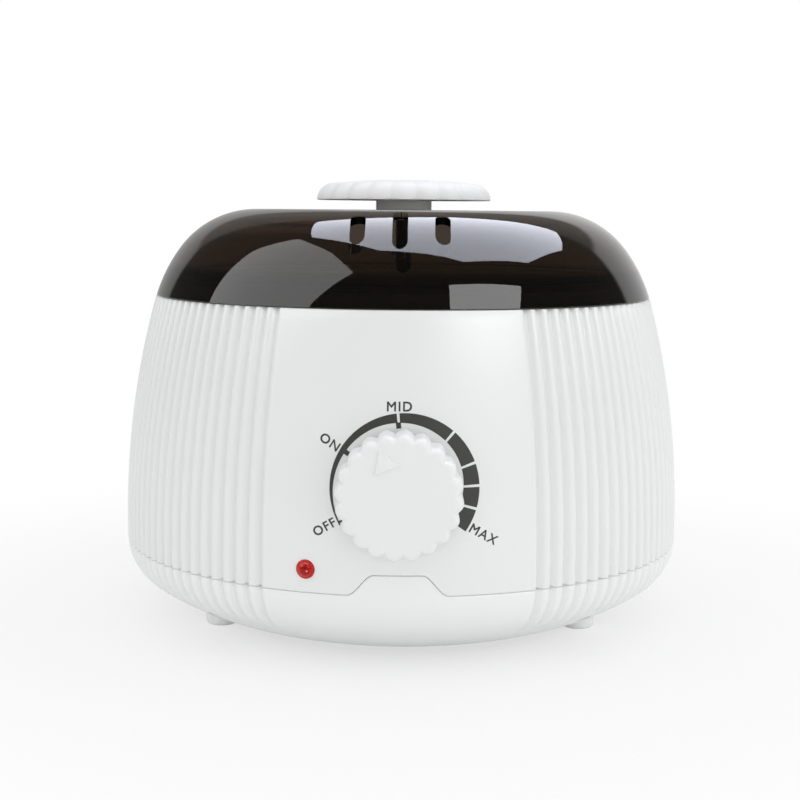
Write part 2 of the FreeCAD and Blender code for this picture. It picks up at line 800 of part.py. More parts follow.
def indicator_lens():
    flange_z = lamp_spot_z + lens_flange_thickness
    dome_radius = (lens_radius ** 2 + lens_dome_height ** 2) / (2 * lens_dome_height)
    dome_angle = math.degrees(math.acos(lens_radius / dome_radius))
    outline = Profile(0, lens_back_z).line(lens_radius, lens_back_z).line(lens_radius, lamp_spot_z)
    outline.line(lens_flange_radius, lamp_spot_z).line(lens_flange_radius, flange_z)
    outline.line(lens_radius, flange_z)
    outline.arc((0, flange_z + lens_dome_height - dome_radius), dome_radius, dome_angle, right_angle)
    return faced(outline.turned(), lamp_height, -lamp_turn)


def lamp_retainer():
    ring = tube(retainer_radius, lens_radius + thread_clearance, retainer_back_z, lamp_pad_z)
    return faced(ring, lamp_height, -lamp_turn)


# Wires: straight runs joined by tangent arcs
def routed(points, radius, bend):
    """A round wire along straight runs, with an arc of one radius at each corner."""
    edges = []
    here = points[0]
    for corner, after in zip(points[1:-1], points[2:]):
        way_in = (corner - here).normalize()
        way_out = (after - corner).normalize()
        turn = way_in.getAngle(way_out)
        reach = bend * math.tan(turn / 2)
        start = corner - way_in * reach
        end = corner + way_out * reach
        inward = (way_out - way_in).normalize()
        middle = corner + inward * (bend / math.cos(turn / 2) - bend)
        edges.append(Part.LineSegment(here, start).toShape())
        edges.append(Part.Arc(start, middle, end).toShape())
        here = end
    edges.append(Part.LineSegment(here, points[-1]).toShape())
    path = Part.Wire(edges)
    section = Part.Wire(Part.makeCircle(radius, points[0], points[1] - points[0]))
    return path.makePipeShell([section], True, False)


terminal_y = -(thermostat_back_z + bush_back_z) / 2
terminal_low_z = dial_height - thermostat_height / 2 - terminal_length
block_front_y = block_y - block_depth / 2
block_middle_z = floor_z + block_height / 2
fuse_z = well_low_z - fuse_drop
fuse_reach = fuse_length / 2 + fuse_lead_length


def terminal_block():
    body = block(block_width, block_depth, block_height, 0, block_y, floor_z)
    holes = [rod(stake_radius + stake_clearance, floor_z, floor_z + block_height, x, block_y)
             for x in stake_spots]
    return body.cut(holes)


def supply_wire():
    return routed([V(terminal_x, block_front_y, block_middle_z), V(terminal_x, terminal_y, block_middle_z),
                   V(terminal_x, terminal_y, terminal_low_z)], wire_radius, wire_bend_radius)


def heater_wire():
    x, y = heater_tab_spots[0]
    low = terminal_low_z - 2 * wire_bend_radius
    return routed([V(x, terminal_y, terminal_low_z), V(x, terminal_y, low), V(x, y, low), V(x, y, heater_low_z)],
                  wire_radius, wire_bend_radius)


def fuse_wire_front():
    x, y = heater_tab_spots[1]
    return routed([V(x, y, heater_low_z), V(x, y, fuse_z), V(x, -fuse_reach, fuse_z)],
                  wire_radius, wire_bend_radius)


def fuse_wire_rear():
    top = floor_z + block_height
    way = block_width / 2 - wire_radius - stake_radius
    return routed([V(fuse_x, fuse_reach, fuse_z), V(fuse_x, block_y, fuse_z), V(-way, block_y, fuse_z),
                   V(-way, block_y, top)], wire_radius, wire_bend_radius / 2)


def thermal_fuse():
    def along(radius, length):
        return Part.makeCylinder(radius, length, V(fuse_x, -length / 2, fuse_z), V(0, 1, 0))
    return joined(along(fuse_radius, fuse_length), along(fuse_lead_radius, 2 * fuse_reach))


def fuse_clip():
    """A bent strip that hangs from the well's floor and holds the fuse."""
    eye_radius = fuse_radius + fuse_clearance
    eye = Part.makeCylinder(eye_radius + clip_thickness, clip_length, V(fuse_x, -clip_length / 2, fuse_z), V(0, 1, 0))
    plate = block(clip_width, clip_length, clip_thickness, fuse_x, 0, well_low_z - clip_thickness)
    web = block(clip_thickness, clip_length, well_low_z - fuse_z, fuse_x, 0, fuse_z)
    bore = Part.makeCylinder(eye_radius, clip_length, V(fuse_x, -clip_length / 2, fuse_z), V(0, 1, 0))
    return joined(eye, plate, web).cut(bore)


def lamp_wires():
    wires = []
    run_z = block_middle_z + 2 * wire_radius
    for side in (-1, 1):
        start, bend = (turned_point(V(side * lamp_pin_spacing / 2, -out, lamp_height), -lamp_turn)
                       for out in (lens_back_z, lens_back_z - 2 * wire_bend_radius))
        low = V(bend.x, bend.y, run_z)
        end = V(-block_width / 4 + side * lamp_pin_spacing, block_front_y, run_z)
        approach = end - V(0, 2 * wire_bend_radius, 0)
        wires.append(routed([start, bend, low, approach, end], lamp_wire_radius, wire_bend_radius / 2))
    return Part.makeCompound(wires)


def cord_gland():
    back = gland_pad_z - gland_lock_thickness
    outline = Profile(gland_bore_radius, back).line(gland_lock_radius, back).line(gland_lock_radius, gland_pad_z)
    outline.line(gland_neck_radius, gland_pad_z).line(gland_neck_radius, gland_spot_z)
    outline.line(gland_flange_radius, gland_spot_z)
    outline.line(gland_flange_radius, gland_spot_z + gland_flange_thickness)
    bush = outline.line(gland_bore_radius, gland_spot_z + gland_flange_thickness).turned()
    return faced(bush, gland_height, rear_turn)


makers = [
    outer_housing, base_cover, base_screws,
    heating_well, well_screws, heater_band, heater_clamp, clamp_screw, insulation_wrap,
    thermostat_body, thermostat_bush, thermostat_nut, thermostat_terminals, thermostat_shaft, dial_knob,
    indicator_lens, lamp_retainer, lamp_wires,
    terminal_block, supply_wire, heater_wire, fuse_wire_front, fuse_wire_rear, thermal_fuse, fuse_clip, cord_gland,
    wax_pot, lid_dome, lid_knob, lid_knob_stem, lid_washer, lid_stud, lid_cap_nut,
]

os.makedirs("parts", exist_ok=True)
for maker in makers:
    maker().exportStep(f"parts/{maker.__name__}.step")
for spot, (x, y) in foot_spots.items():
    foot(x, y).exportStep(f"parts/foot_{spot}.step")
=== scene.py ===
"""Wax warmer: a ribbed white housing, a smoked lid, a dial with a printed scale and a red lamp.

Shapes are drawn in millimetres, +Z up and the dial towards -Y, and scaled to metres when a piece is made.
"""

import json
import math

import bmesh
import bpy
from mathutils import Matrix, Vector
from mathutils.bvhtree import BVHTree
from mathutils.interpolate import poly_3d_calc


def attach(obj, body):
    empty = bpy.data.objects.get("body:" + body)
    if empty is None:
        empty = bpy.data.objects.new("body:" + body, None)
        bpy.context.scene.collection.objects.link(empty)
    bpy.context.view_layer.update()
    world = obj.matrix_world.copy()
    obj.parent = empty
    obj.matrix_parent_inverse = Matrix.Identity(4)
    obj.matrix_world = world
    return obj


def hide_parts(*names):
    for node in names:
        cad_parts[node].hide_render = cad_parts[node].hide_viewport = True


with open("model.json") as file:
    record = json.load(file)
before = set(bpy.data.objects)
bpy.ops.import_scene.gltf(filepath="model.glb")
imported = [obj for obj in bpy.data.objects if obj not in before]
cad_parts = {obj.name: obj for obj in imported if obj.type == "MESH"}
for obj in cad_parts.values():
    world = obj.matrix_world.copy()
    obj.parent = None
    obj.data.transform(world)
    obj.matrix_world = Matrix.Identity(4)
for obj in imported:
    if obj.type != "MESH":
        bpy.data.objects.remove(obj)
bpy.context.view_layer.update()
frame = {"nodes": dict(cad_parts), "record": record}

MM = 0.001
FULL = math.tau
TO_FRONT = Matrix.Rotation(math.radians(90), 4, "X")
ROUND_Z = {"cent": (0, 0, 0), "axis": (0, 0, 1)}
SAME_SPOT = 1e-3


def cos(degrees):
    return math.cos(math.radians(degrees))


def sin(degrees):
    return math.sin(math.radians(degrees))


def ease(low, high, value):
    """0 below low, 1 above high, and a soft step between."""
    share = min(max((value - low) / (high - low), 0), 1)
    return share * share * (3 - 2 * share)


def turn_at(rise, radius):
    """Degrees round a circle's centre, from its side to where it has risen so far."""
    return math.degrees(math.asin(rise / radius))


def about_z(degrees):
    return Matrix.Rotation(math.radians(degrees), 4, "Z")


# Housing and base
BODY_R, SIDE_R, WALL = 92.5, 270.0, 2.4
SEAM_Z, SEAM_GAP, WIDEST_Z, DECK_Z, SHELF_Z = 26.288, 0.04, 32.988, 106.788, 110.988
SIDE_CENTRE = (BODY_R - SIDE_R, WIDEST_Z)
COLLAR_R, COLLAR_INNER_R, SHELF_INNER_R = 78.218, 75.618, 64.018
PITCHES, PANEL_PITCHES, COLUMNS = 124, 18, 10
GROOVE_DEPTH, GROOVE_HALF, GROOVE_STEEPNESS, RIB_CROWN = 1.35, 1.0, 3, 0.06
# How far past the panel's edges the skin is drawn, in pitches, how closely the columns of faces
# gather at a groove, and how soon the crown ends on the panel's side.
GROOVE_MARGIN, COLUMN_PULL, PANEL_EDGE_FALL = 0.75, 1.45, 1.6
TAB_FOOT, TAB_TOP, TAB_RISE, TAB_MIDDLE, TAB_REACH = 14.5, 6.9, 6.0, -0.25, 4.0
BASE_R, BASE_LOW, BASE_FLARE, FLARE_LOW, FLARE_TOP = 91.9, 2.5, 0.45, 12.0, 25.0
# Where the base's grooves fade out: between two heights, and round each screw hole
FADE_LOW, FADE_TOP, SCREW_PLAIN_R, SCREW_FADE_R = 6.5, 16.0, 4.2, 8.0
CORNER_CENTRE, CORNER_R, CORNER_TURN = (76.4, SEAM_Z), 15.5, 57.0
LOWER_CENTRE, LOWER_TURN = (36.9137, 87.0918), 16.0
EDGE_CENTRE, EDGE_TURN = (59.7187, 12.5), 17.0
LIP_R, LIP_INNER_R, LIP_LOW, LIP_TOP = 89.9, 88.3, 22.288, 28.488
FOOT_SPOTS = {"front_left": (-58.32, -27.07), "front_right": (58.32, -27.07),
              "rear_left": (-58.32, 27.07), "rear_right": (58.32, 27.07)}
FOOT_R, FOOT_HEIGHT, FOOT_BOSS_R, FOOT_BOSS_TOP, FOOT_PLAY = 5.2, 3.6, 5.7, 10.6, 0.01
POSTS, FIRST_POST, POST_CIRCLE, BOSS_R, BOSS_LOW, BOSS_TOP = 4, 45, 79.0, 4.6, 15.0, 24.388
SINK_R, SINK_TOP, SHANK_HOLE_R, BASE_SLOT_TURN = 3.3, 17.988, 2.0, 35

# Columns of faces to a lobe of either knob
LOBE_STEPS = 14

# Lid, well and pot
TOP_R, LID_TOP_Z, LID_WALL, LID_HOLE_R = 82.218, 134.988, 2.2, 2.2
SHOULDER_CENTRE, SHOULDER_TURN = (49.018, 103.614), 37.09
SKIRT_CENTRE, SKIRT_R = (31.868, 90.6486), 52.8735
# The lid's band of painted shade: darker from the rim up to these heights
SHADE_BAND_LOW, SHADE_BAND_TOP = 115.2, 117.6
VENT_WIDTH, VENT_TURN, VENT_LOW, VENT_REACH = 4.5, -0.5, 9, 30
# Each slot's x, the y of its front and its length
VENTS = [(-12.5, -68.6, 12.4), (0.0, -70.8, 18.0), (12.5, -68.6, 12.4)]
STEM_R, KNOB_LOW_Z, KNOB_TOP_Z, KNOB_R, KNOB_EDGE, KNOB_CROWN = 9.3, 138.188, 144.988, 29.1, 5.6, 240.0
KNOB_LOBES, KNOB_LOBE_DEPTH, KNOB_LOBE_START, KNOB_LOBE_FULL = 22, 1.3, 16.0, 27.5
WELL_R, WELL_WALL, WELL_LOW, WELL_CORNER, WELL_FLANGE_R = 59.518, 1.5, 51.988, 6.0, 76.218
POT_R, POT_WALL, POT_LOW, POT_CORNER, POT_RIM_R, POT_TOP = 56.518, 1.2, 54.488, 4.5, 68.018, 115.288
SEAT_Z = 112.488
WELL_SCREWS, FIRST_WELL_SCREW, WELL_SCREW_CIRCLE, WELL_SLOT_TURN = 3, 90, 72.318, 20

# Dial, lamp and gland
DIAL_Z, DIAL_R, DIAL_BACK, DIAL_FRONT, DIAL_REST = 56.7, 17.9, 93.3, 104.7, 22.0
DIAL_LOBES, DIAL_LOBE_DEPTH, DIAL_LOBE_START, DIAL_LOBE_FULL = 20, 1.25, 12.4, 16.7
DIAL_BORE_R, DIAL_SEAT_R, DIAL_SEAT_DEPTH = 5.2, 9.5, 1.0
LAMP_TURN, LAMP_Z, LAMP_BORE_R, LAMP_SEAT_R, LAMP_SEAT_DEPTH = 16.75, 33.2, 2.4, 2.85, 0.3
GLAND_TURN, GLAND_Z, GLAND_BORE_R, GLAND_SEAT_R, GLAND_SEAT_DEPTH = 180, 40.0, 5.55, 8.5, 1.4

# Printed scale, measured from its own centre beside the dial's axis
SCALE_CENTRE, SCALE_R, SCALE_START, SCALE_END = (1.41, 0.45), 21.2, -120.5, 125.0
SCALE_GAPS, SCALE_GAP_WIDTH = (-5.4, 41.0, 70.0, 88.0, 106.0), 0.74
SCALE_THIN, SCALE_GROWTH = 0.35, 4.9
CAP_HEIGHT, STROKE_GROWTH, LETTER_SPACING = 2.6, 0.085, 1.16
# Each word with its x, y and turn
LEGENDS = [("MID", -1.6, 23.0, 0), ("ON", -21.2, 12.7, -33),
           ("OFF", -22.6, -11.4, 31), ("MAX", 22.6, -13.2, -30)]
# Each mark's width, lower and upper radius, clockwise turn and, where it narrows, its taper
TICKS = [(1.4, 17.0, 18.7, -5.8), (1.4, 18.4, 20.1, -59), (1.0, 19.8, 20.9, -118, 0.3)]
INK_PROUD, INK_LAYER = 0.05, 0.12


def side_r(z):
    """Radius of the housing's side at a height."""
    return SIDE_CENTRE[0] + math.sqrt(SIDE_R ** 2 - max(z - WIDEST_Z, 0) ** 2)


LAMP_R = side_r(LAMP_Z)
DIAL_SEAT = side_r(DIAL_Z) - DIAL_SEAT_DEPTH
LAMP_SEAT = LAMP_R - LAMP_SEAT_DEPTH
GLAND_SEAT = side_r(GLAND_Z) - GLAND_SEAT_DEPTH


# Shapes

def verts_of(parts):
    return [part for part in parts if isinstance(part, bmesh.types.BMVert)]


class Outline:
    """A line in the XZ plane, drawn from point to point and spun about Z into a closed shape."""

    def __init__(self, r, z):
        self.bm = bmesh.new()
        self.first = self.last = self.bm.verts.new((r, 0, z))

    def line(self, r, z, steps=1):
        start = self.last.co.copy()
        for step in range(1, steps + 1):
            self.last = bmesh.ops.extrude_vert_indiv(self.bm, verts=[self.last])["verts"][0]
            self.last.co = start.lerp(Vector((r, 0, z)), step / steps)
        return self

    def arc(self, centre, turn, steps):
        """Go on round a centre (r, z), anticlockwise for a positive turn in degrees."""
        made = bmesh.ops.spin(self.bm, geom=[self.last], cent=(centre[0], 0, centre[1]), axis=(0, -1, 0),
                              angle=math.radians(turn), steps=steps)
        self.last = verts_of(made["geom_last"])[0]
        return self

    def spun(self, steps, closed=True):
        """Spin the line about Z: one sector first, and then copies of the sector all the way round."""
        bm = self.bm
        if closed:
            bm.edges.new((self.last, self.first))
        sector = max(count for count in range(1, math.isqrt(steps) + 1) if steps % count == 0)
        copies = steps // sector
        bmesh.ops.spin(bm, geom=bm.verts[:] + bm.edges[:], angle=FULL / copies, steps=sector, **ROUND_Z)
        bmesh.ops.spin(bm, geom=bm.verts[:] + bm.edges[:] + bm.faces[:], angle=FULL - FULL / copies,
                       steps=copies - 1, use_duplicate=True, **ROUND_Z)
        return tidied(bm)


def tidied(bm):
    bmesh.ops.remove_doubles(bm, verts=bm.verts, dist=SAME_SPOT)
    bmesh.ops.recalc_face_normals(bm, faces=bm.faces)
    return bm


def mesh_of(bm, name, sharp=35.0):
    """Turn a shape in millimetres into a smooth-shaded mesh in metres."""
    bm.transform(Matrix.Scale(MM, 4))
    mesh = bpy.data.meshes.new(name)
    bm.to_mesh(mesh)
    bm.free()
    mesh.shade_smooth()
    mesh.set_sharp_from_angle(angle=math.radians(sharp))
    return mesh


def joined(first, *others):
    """Put other shapes into the first one's mesh."""
    for other in others:
        spare = bpy.data.meshes.new("spare")
        other.to_mesh(spare)
        other.free()
        first.from_mesh(spare)
        bpy.data.meshes.remove(spare)
    return first


class Skin:
    """A mesh's surface, which gives its shading at a point near it."""

    def __init__(self, mesh):
        self.mesh = mesh
        self.points = [vertex.co.copy() for vertex in mesh.vertices]
        self.tree = BVHTree.FromPolygons(self.points, [polygon.vertices[:] for polygon in mesh.polygons])
        self.corners = [corner.vector.copy() for corner in mesh.corner_normals]

    def distance(self, point):
        return self.tree.find_nearest(point)[3]

    def normal(self, point):
        spot, _, index, _ = self.tree.find_nearest(point)
        source = self.mesh.polygons[index]
        weights = poly_3d_calc([self.points[vertex] for vertex in source.vertices], spot)
        return sum((self.corners[corner] * weight for corner, weight in zip(source.loop_indices, weights)),
                   Vector()).normalized()


def in_scene(name, data):
    """Make an object of a mesh, a light or a camera and add it to the scene."""
    made = bpy.data.objects.new(name, data)
    bpy.context.scene.collection.objects.link(made)
    return made


def carved(mesh, shape, operation="DIFFERENCE"):
    """Cut a shape out of a mesh, or add it, with the shading that both surfaces had before."""
    tool = mesh_of(shape, "tool")
    body_object, tool_object = (in_scene(data.name, data) for data in (mesh, tool))
    cut = body_object.modifiers.new("cut", "BOOLEAN")
    cut.operation, cut.solver, cut.object = operation, "EXACT", tool_object
    bpy.context.view_layer.update()
    finished = body_object.evaluated_get(bpy.context.evaluated_depsgraph_get())
    result = bpy.data.meshes.new_from_object(finished)

    # A corner's shading is looked up a little inside its face, where only one surface is near.
    inward = 0.03
    skin, cutter = Skin(mesh), Skin(tool)
    facing = -1 if operation == "DIFFERENCE" else 1
    normals = [Vector()] * len(result.loops)
    for polygon in result.polygons:
        on_skin = skin.distance(polygon.center) <= cutter.distance(polygon.center)
        for loop in polygon.loop_indices:
            point = result.vertices[result.loops[loop].vertex_index].co.lerp(polygon.center, inward)
            normals[loop] = skin.normal(point) if on_skin else facing * cutter.normal(point)
    result.shade_smooth()
    result.normals_split_custom_set(normals)
    for thing in (body_object, tool_object):
        bpy.data.objects.remove(thing)
    bpy.data.meshes.remove(tool)
    return result


def faced(bm, height, turn=0.0):
    """Turn a shape drawn along +Z to face the front at a height, then round the body."""
    bm.transform(about_z(turn) @ Matrix.Translation((0, 0, height)) @ TO_FRONT)
    return bm


def moved(bm, x, y, z=0.0):
    bm.transform(Matrix.Translation((x, y, z)))
    return bm


def ringed(bm, count, first):
    """Set a shape at an angle about Z and repeat it evenly all the way round."""
    bm.transform(about_z(first))
    bmesh.ops.spin(bm, geom=bm.verts[:] + bm.edges[:] + bm.faces[:], angle=FULL - FULL / count,
                   steps=count - 1, use_duplicate=True, **ROUND_Z)
    return bm


def risen(bm, height):
    """Extrude all the faces of a flat shape upwards; gives what the extrusion made."""
    made = bmesh.ops.extrude_face_region(bm, geom=bm.faces[:], use_keep_orig=True)["geom"]
    bmesh.ops.translate(bm, verts=verts_of(made), vec=(0, 0, height))
    return made


def rod(radius, low, high, mouth_radius=None, mouth=None, steps=48):
    """A plain round bar along Z, wider from a height up where a mouth is given."""
    shape = Outline(0, low).line(radius, low)
    if mouth_radius:
        shape.line(radius, mouth).line(mouth_radius, mouth).line(mouth_radius, high)
    else:
        shape.line(radius, high)
    return shape.line(0, high).spun(steps, closed=False)


def lobed(bm, count, depth, weight):
    """Draw a skin in to round lobes with narrow valleys about the Z axis, with a valley towards +X."""
    for vert in bm.verts:
        reach = math.hypot(vert.co.x, vert.co.y)
        wave = 1 - abs(math.sin(count / 2 * math.atan2(vert.co.y, vert.co.x)))
        drawn = 1 - depth * wave * weight(reach) / max(reach, 1)
        vert.co.x, vert.co.y = vert.co.x * drawn, vert.co.y * drawn
    return bm


def piece(name, mesh, body, finish, replaced=()):
    """Make a mesh a piece of the object that moves with a body."""
    mesh.name = name
    mesh.materials.clear()
    mesh.materials.append(finish)
    made = in_scene(name, mesh)
    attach(made, body)
    if replaced:
        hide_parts(*replaced)


# Finishes

class Value:
    """A number that changes over a surface: sums and products on it add Math nodes."""

    def __init__(self, finish, socket):
        self.finish, self.socket = finish, socket

    def math(self, operation, first, second=0.0):
        return self.finish.node("ShaderNodeMath", {"operation": operation}, {0: first, 1: second})

    def __add__(self, other):
        return self.math("ADD", self, other)

    def __radd__(self, other):
        return self.math("ADD", other, self)

    def __sub__(self, other):
        return self.math("SUBTRACT", self, other)

    def __rsub__(self, other):
        return self.math("SUBTRACT", other, self)

    def __mul__(self, other):
        return self.math("MULTIPLY", self, other)

    def __rmul__(self, other):
        return self.math("MULTIPLY", other, self)

    def __pow__(self, other):
        return self.math("POWER", self, other)


class Finish:
    """A material, or another owner of shader nodes, whose look comes from nodes on Object coordinates."""

    def __init__(self, name, owner=None):
        self.owner = owner or bpy.data.materials.new(name)
        self.owner.use_nodes = True
        self.tree = self.owner.node_tree
        self.tree.nodes.clear()

    def node(self, kind, settings=None, sockets=None, output=0):
        """Add a node: its settings, then its sockets' values or links. Gives one of its outputs."""
        made = self.tree.nodes.new(kind)
        for name, value in (settings or {}).items():
            setattr(made, name, value)
        for name, value in (sockets or {}).items():
            if isinstance(value, Value):
                self.tree.links.new(value.socket, made.inputs[name])
            else:
                made.inputs[name].default_value = value
        return Value(self, made.outputs[output]) if made.outputs else made

    def place(self, scale=(1, 1, 1), location=(0, 0, 0)):
        """Object coordinates moved and scaled to suit a pattern."""
        spot = self.node("ShaderNodeTexCoord", output="Object")
        return self.node("ShaderNodeMapping", {},
                         {"Vector": spot, "Location": location, "Scale": scale})

    def noise(self, scale, detail=2.0, stretch=(1, 1, 1)):
        return self.node("ShaderNodeTexNoise", {},
                         {"Vector": self.place(stretch), "Scale": scale, "Detail": detail})

    def split(self, vector):
        parts = self.node("ShaderNodeSeparateXYZ", {}, {"Vector": vector}).socket.node
        return [Value(self, socket) for socket in parts.outputs]

    def step(self, low, high, value):
        """A soft step from 0 to 1 between two values."""
        return self.node("ShaderNodeMapRange", {"interpolation_type": "SMOOTHSTEP"},
                         {"Value": value, "From Min": low, "From Max": high})

    def mix(self, factor, first, second):
        """A colour between two colours."""
        colours = {index: value if isinstance(value, Value) else (*value, 1)
                   for index, value in ((6, first), (7, second))}
        return self.node("ShaderNodeMix", {"data_type": "RGBA"}, {0: factor, **colours}, output=2)

    def bump(self, height, distance, strength=1.0):
        return self.node("ShaderNodeBump", {},
                         {"Height": height, "Distance": distance, "Strength": strength})

    def rays(self, *kinds):
        """1 for rays of any of some kinds, and 0 for the rest."""
        shown = None
        for kind in kinds:
            ray = self.node("ShaderNodeLightPath", output=f"Is {kind} Ray")
            shown = ray if shown is None else ray.math("MAXIMUM", shown, ray)
        return shown

    def surface(self, sockets):
        shader = self.node("ShaderNodeBsdfPrincipled", {}, sockets)
        self.node("ShaderNodeOutputMaterial", {}, {"Surface": shader})
        return self.owner


def plastic(name, pale, dark, roughness, grain=900.0, depth=0.00002, ior=1.5):
    """Moulded plastic: slightly cloudy colour, uneven gloss and a fine moulded grain."""
    finish = Finish(name)
    cloud = finish.noise(22.0, 3.0)
    fine = finish.noise(grain, 2.0)
    return finish.surface({
        "Base Color": finish.mix(cloud, dark, pale),
        "Roughness": roughness + (cloud - 0.5) * 0.12,
        "IOR": ior,
        "Normal": finish.bump(fine, depth),
    })


def metal(name, pale, dark, roughness, stretch, scale=60.0, depth=0.00002):
    """Metal with fine marks drawn out along one direction."""
    finish = Finish(name)
    marks = finish.noise(scale, 4.0, stretch)
    cloud = finish.noise(35.0, 2.0)
    return finish.surface({
        "Base Color": finish.mix(cloud, dark, pale),
        "Roughness": roughness + (marks - 0.5) * 0.25,
        "Metallic": 1.0,
        "Normal": finish.bump(marks, depth),
    })


def turned_metal(name, pale, dark, roughness):
    """Spun metal, with fine rings about the Z axis."""
    finish = Finish(name)
    x, y, z = finish.split(finish.place())
    radius = (x * x + y * y) ** 0.5
    rings = finish.node("ShaderNodeTexNoise", {"noise_dimensions": "1D"},
                        {"W": radius + z * 0.9, "Scale": 2600.0, "Detail": 4.0})
    cloud = finish.noise(30.0, 3.0)
    return finish.surface({
        "Base Color": finish.mix(cloud, dark, pale),
        "Roughness": roughness + (rings - 0.5) * 0.1,
        "Metallic": 1.0,
        "Normal": finish.bump(rings, 0.00001, 0.4),
    })


def smoked():
    """Clear smoked brown plastic with a high gloss, darker in a band above the rim, which is painted shade.
    """
    finish = Finish("smoked_clear_plastic")
    cloud = finish.noise(30.0, 2.0)
    height = finish.split(finish.place())[2]
    # The lid's colour is darker below the band: painted shade
    above_painted_shade = finish.step(SHADE_BAND_LOW * MM, SHADE_BAND_TOP * MM, height)
    brown = finish.mix(cloud, (0.26, 0.2, 0.152), (0.28, 0.216, 0.164))
    return finish.surface({
        "Base Color": finish.mix(above_painted_shade, (0.1, 0.086, 0.074), brown),
        "Roughness": 0.012 + cloud * 0.015,
        "IOR": 1.49,
        "Transmission Weight": 1.0,
    })


def felt():
    finish = Finish("glass_fibre_felt")
    fibres = finish.noise(700.0, 5.0, (1, 1, 0.25))
    return finish.surface({
        "Base Color": finish.mix(fibres, (0.62, 0.56, 0.42), (0.85, 0.81, 0.68)),
        "Roughness": 0.95,
        "Normal": finish.bump(fibres, 0.0004),
    })


def ink():
    finish = Finish("printed_ink")
    grain = finish.noise(1500.0, 2.0)
    return finish.surface({
        "Base Color": finish.mix(grain, (0.036, 0.036, 0.033), (0.05, 0.05, 0.046)),
        "Roughness": 0.42 + (grain - 0.5) * 0.15,
    })


def lamp_red():
    """Clear red plastic, deeper in the middle of the dome than at its flange, with a painted highlight: a
    pale spot a little right of and below the middle.
    """
    deep_r, pale_r = 0.7, 2.5
    highlight_right, highlight_drop, highlight_core_r, highlight_r = 0.5, 0.15, 0.12, 0.38
    finish = Finish("clear_red_plastic")
    to_lamp = (LAMP_R * sin(LAMP_TURN) * MM, LAMP_R * cos(LAMP_TURN) * MM, -LAMP_Z * MM)
    x, _, z = finish.split(finish.place(location=to_lamp))
    off = (x * x + z * z) ** 0.5
    aside, below = x - highlight_right * MM, z + highlight_drop * MM
    # A pale spot in the colour: a painted highlight
    spot = finish.step(highlight_core_r * MM, highlight_r * MM, (aside * aside + below * below) ** 0.5)
    red = finish.mix(finish.step(deep_r * MM, pale_r * MM, off), (0.3, 0.002, 0.001), (0.55, 0.012, 0.008))
    cloud = finish.noise(900.0, 1.0)
    return finish.surface({
        "Base Color": finish.mix(spot, (0.95, 0.3, 0.24), red),
        "Roughness": 0.16 + cloud * 0.06,
        "IOR": 1.38,
    })


finishes = {
    "white_plastic": plastic("white_plastic", (0.8, 0.815, 0.808), (0.775, 0.79, 0.783), 0.34),
    # The knob collar's pale plastic, a little paler than the housing's white: partly painted light for the
    # shade under the lid knob
    "grey_plastic": plastic("grey_plastic", (0.86, 0.865, 0.865), (0.83, 0.835, 0.835), 0.6),
    "smoked_plastic": smoked(),
    "black_plastic": plastic("black_plastic", (0.022, 0.022, 0.022), (0.014, 0.014, 0.014), 0.4),
    "pale_plastic": plastic("pale_plastic", (0.72, 0.7, 0.62), (0.66, 0.64, 0.56), 0.5),
    # The feet's pale rubber, made paler still: painted light in the shade under the base
    "foot_rubber": plastic("foot_rubber", (0.91, 0.915, 0.915), (0.88, 0.885, 0.885), 0.6, 600.0, 0.00004),
    "gland_rubber": plastic("gland_rubber", (0.66, 0.67, 0.67), (0.6, 0.61, 0.61), 0.62, 600.0, 0.00004),
    "red_lens": lamp_red(),
    "spun_aluminium": turned_metal("spun_aluminium", (0.83, 0.84, 0.85), (0.74, 0.75, 0.76), 0.3),
    "steel": metal("zinc_steel", (0.72, 0.73, 0.74), (0.58, 0.59, 0.6), 0.34, (1, 1, 6)),
    "heater_foil": metal("heater_foil", (0.56, 0.56, 0.53), (0.44, 0.43, 0.4), 0.4, (1, 1, 12)),
    "glass_fibre": felt(),
    "brass": metal("brass", (0.78, 0.58, 0.26), (0.66, 0.46, 0.19), 0.3, (1, 8, 1)),
    "wire_cover": plastic("wire_cover", (0.62, 0.58, 0.48), (0.52, 0.48, 0.4), 0.55),
    "fuse_case": metal("fuse_case", (0.8, 0.78, 0.72), (0.68, 0.66, 0.6), 0.35, (1, 8, 1)),
}
dial_white = plastic("dial_white", (0.8, 0.805, 0.805), (0.78, 0.785, 0.785), 0.58)
# A paler copy of the white plastic for the lid knob: painted light on its shaded sides
lid_knob_white_painted_light = plastic("lid_knob_white_painted_light", (0.85, 0.855, 0.86), (0.83, 0.835, 0.84), 0.55, ior=1.25)
# A paler copy of the housing's white plastic for the base: painted light on its shaded lower side
base_white_painted_light = plastic("base_white_painted_light", (0.84, 0.852, 0.846), (0.815, 0.827, 0.821), 0.34)
print_ink = ink()

for row in frame["record"]["subparts"]:
    slots = frame["nodes"][row["node"]].data.materials
    slots.clear()
    slots.append(finishes[row["material_slot"]])


# Housing and base

PITCH = FULL / PITCHES
FIRST_GROOVE = math.radians(-90) + PANEL_PITCHES / 2 * PITCH
LAST_GROOVE = PITCHES - PANEL_PITCHES


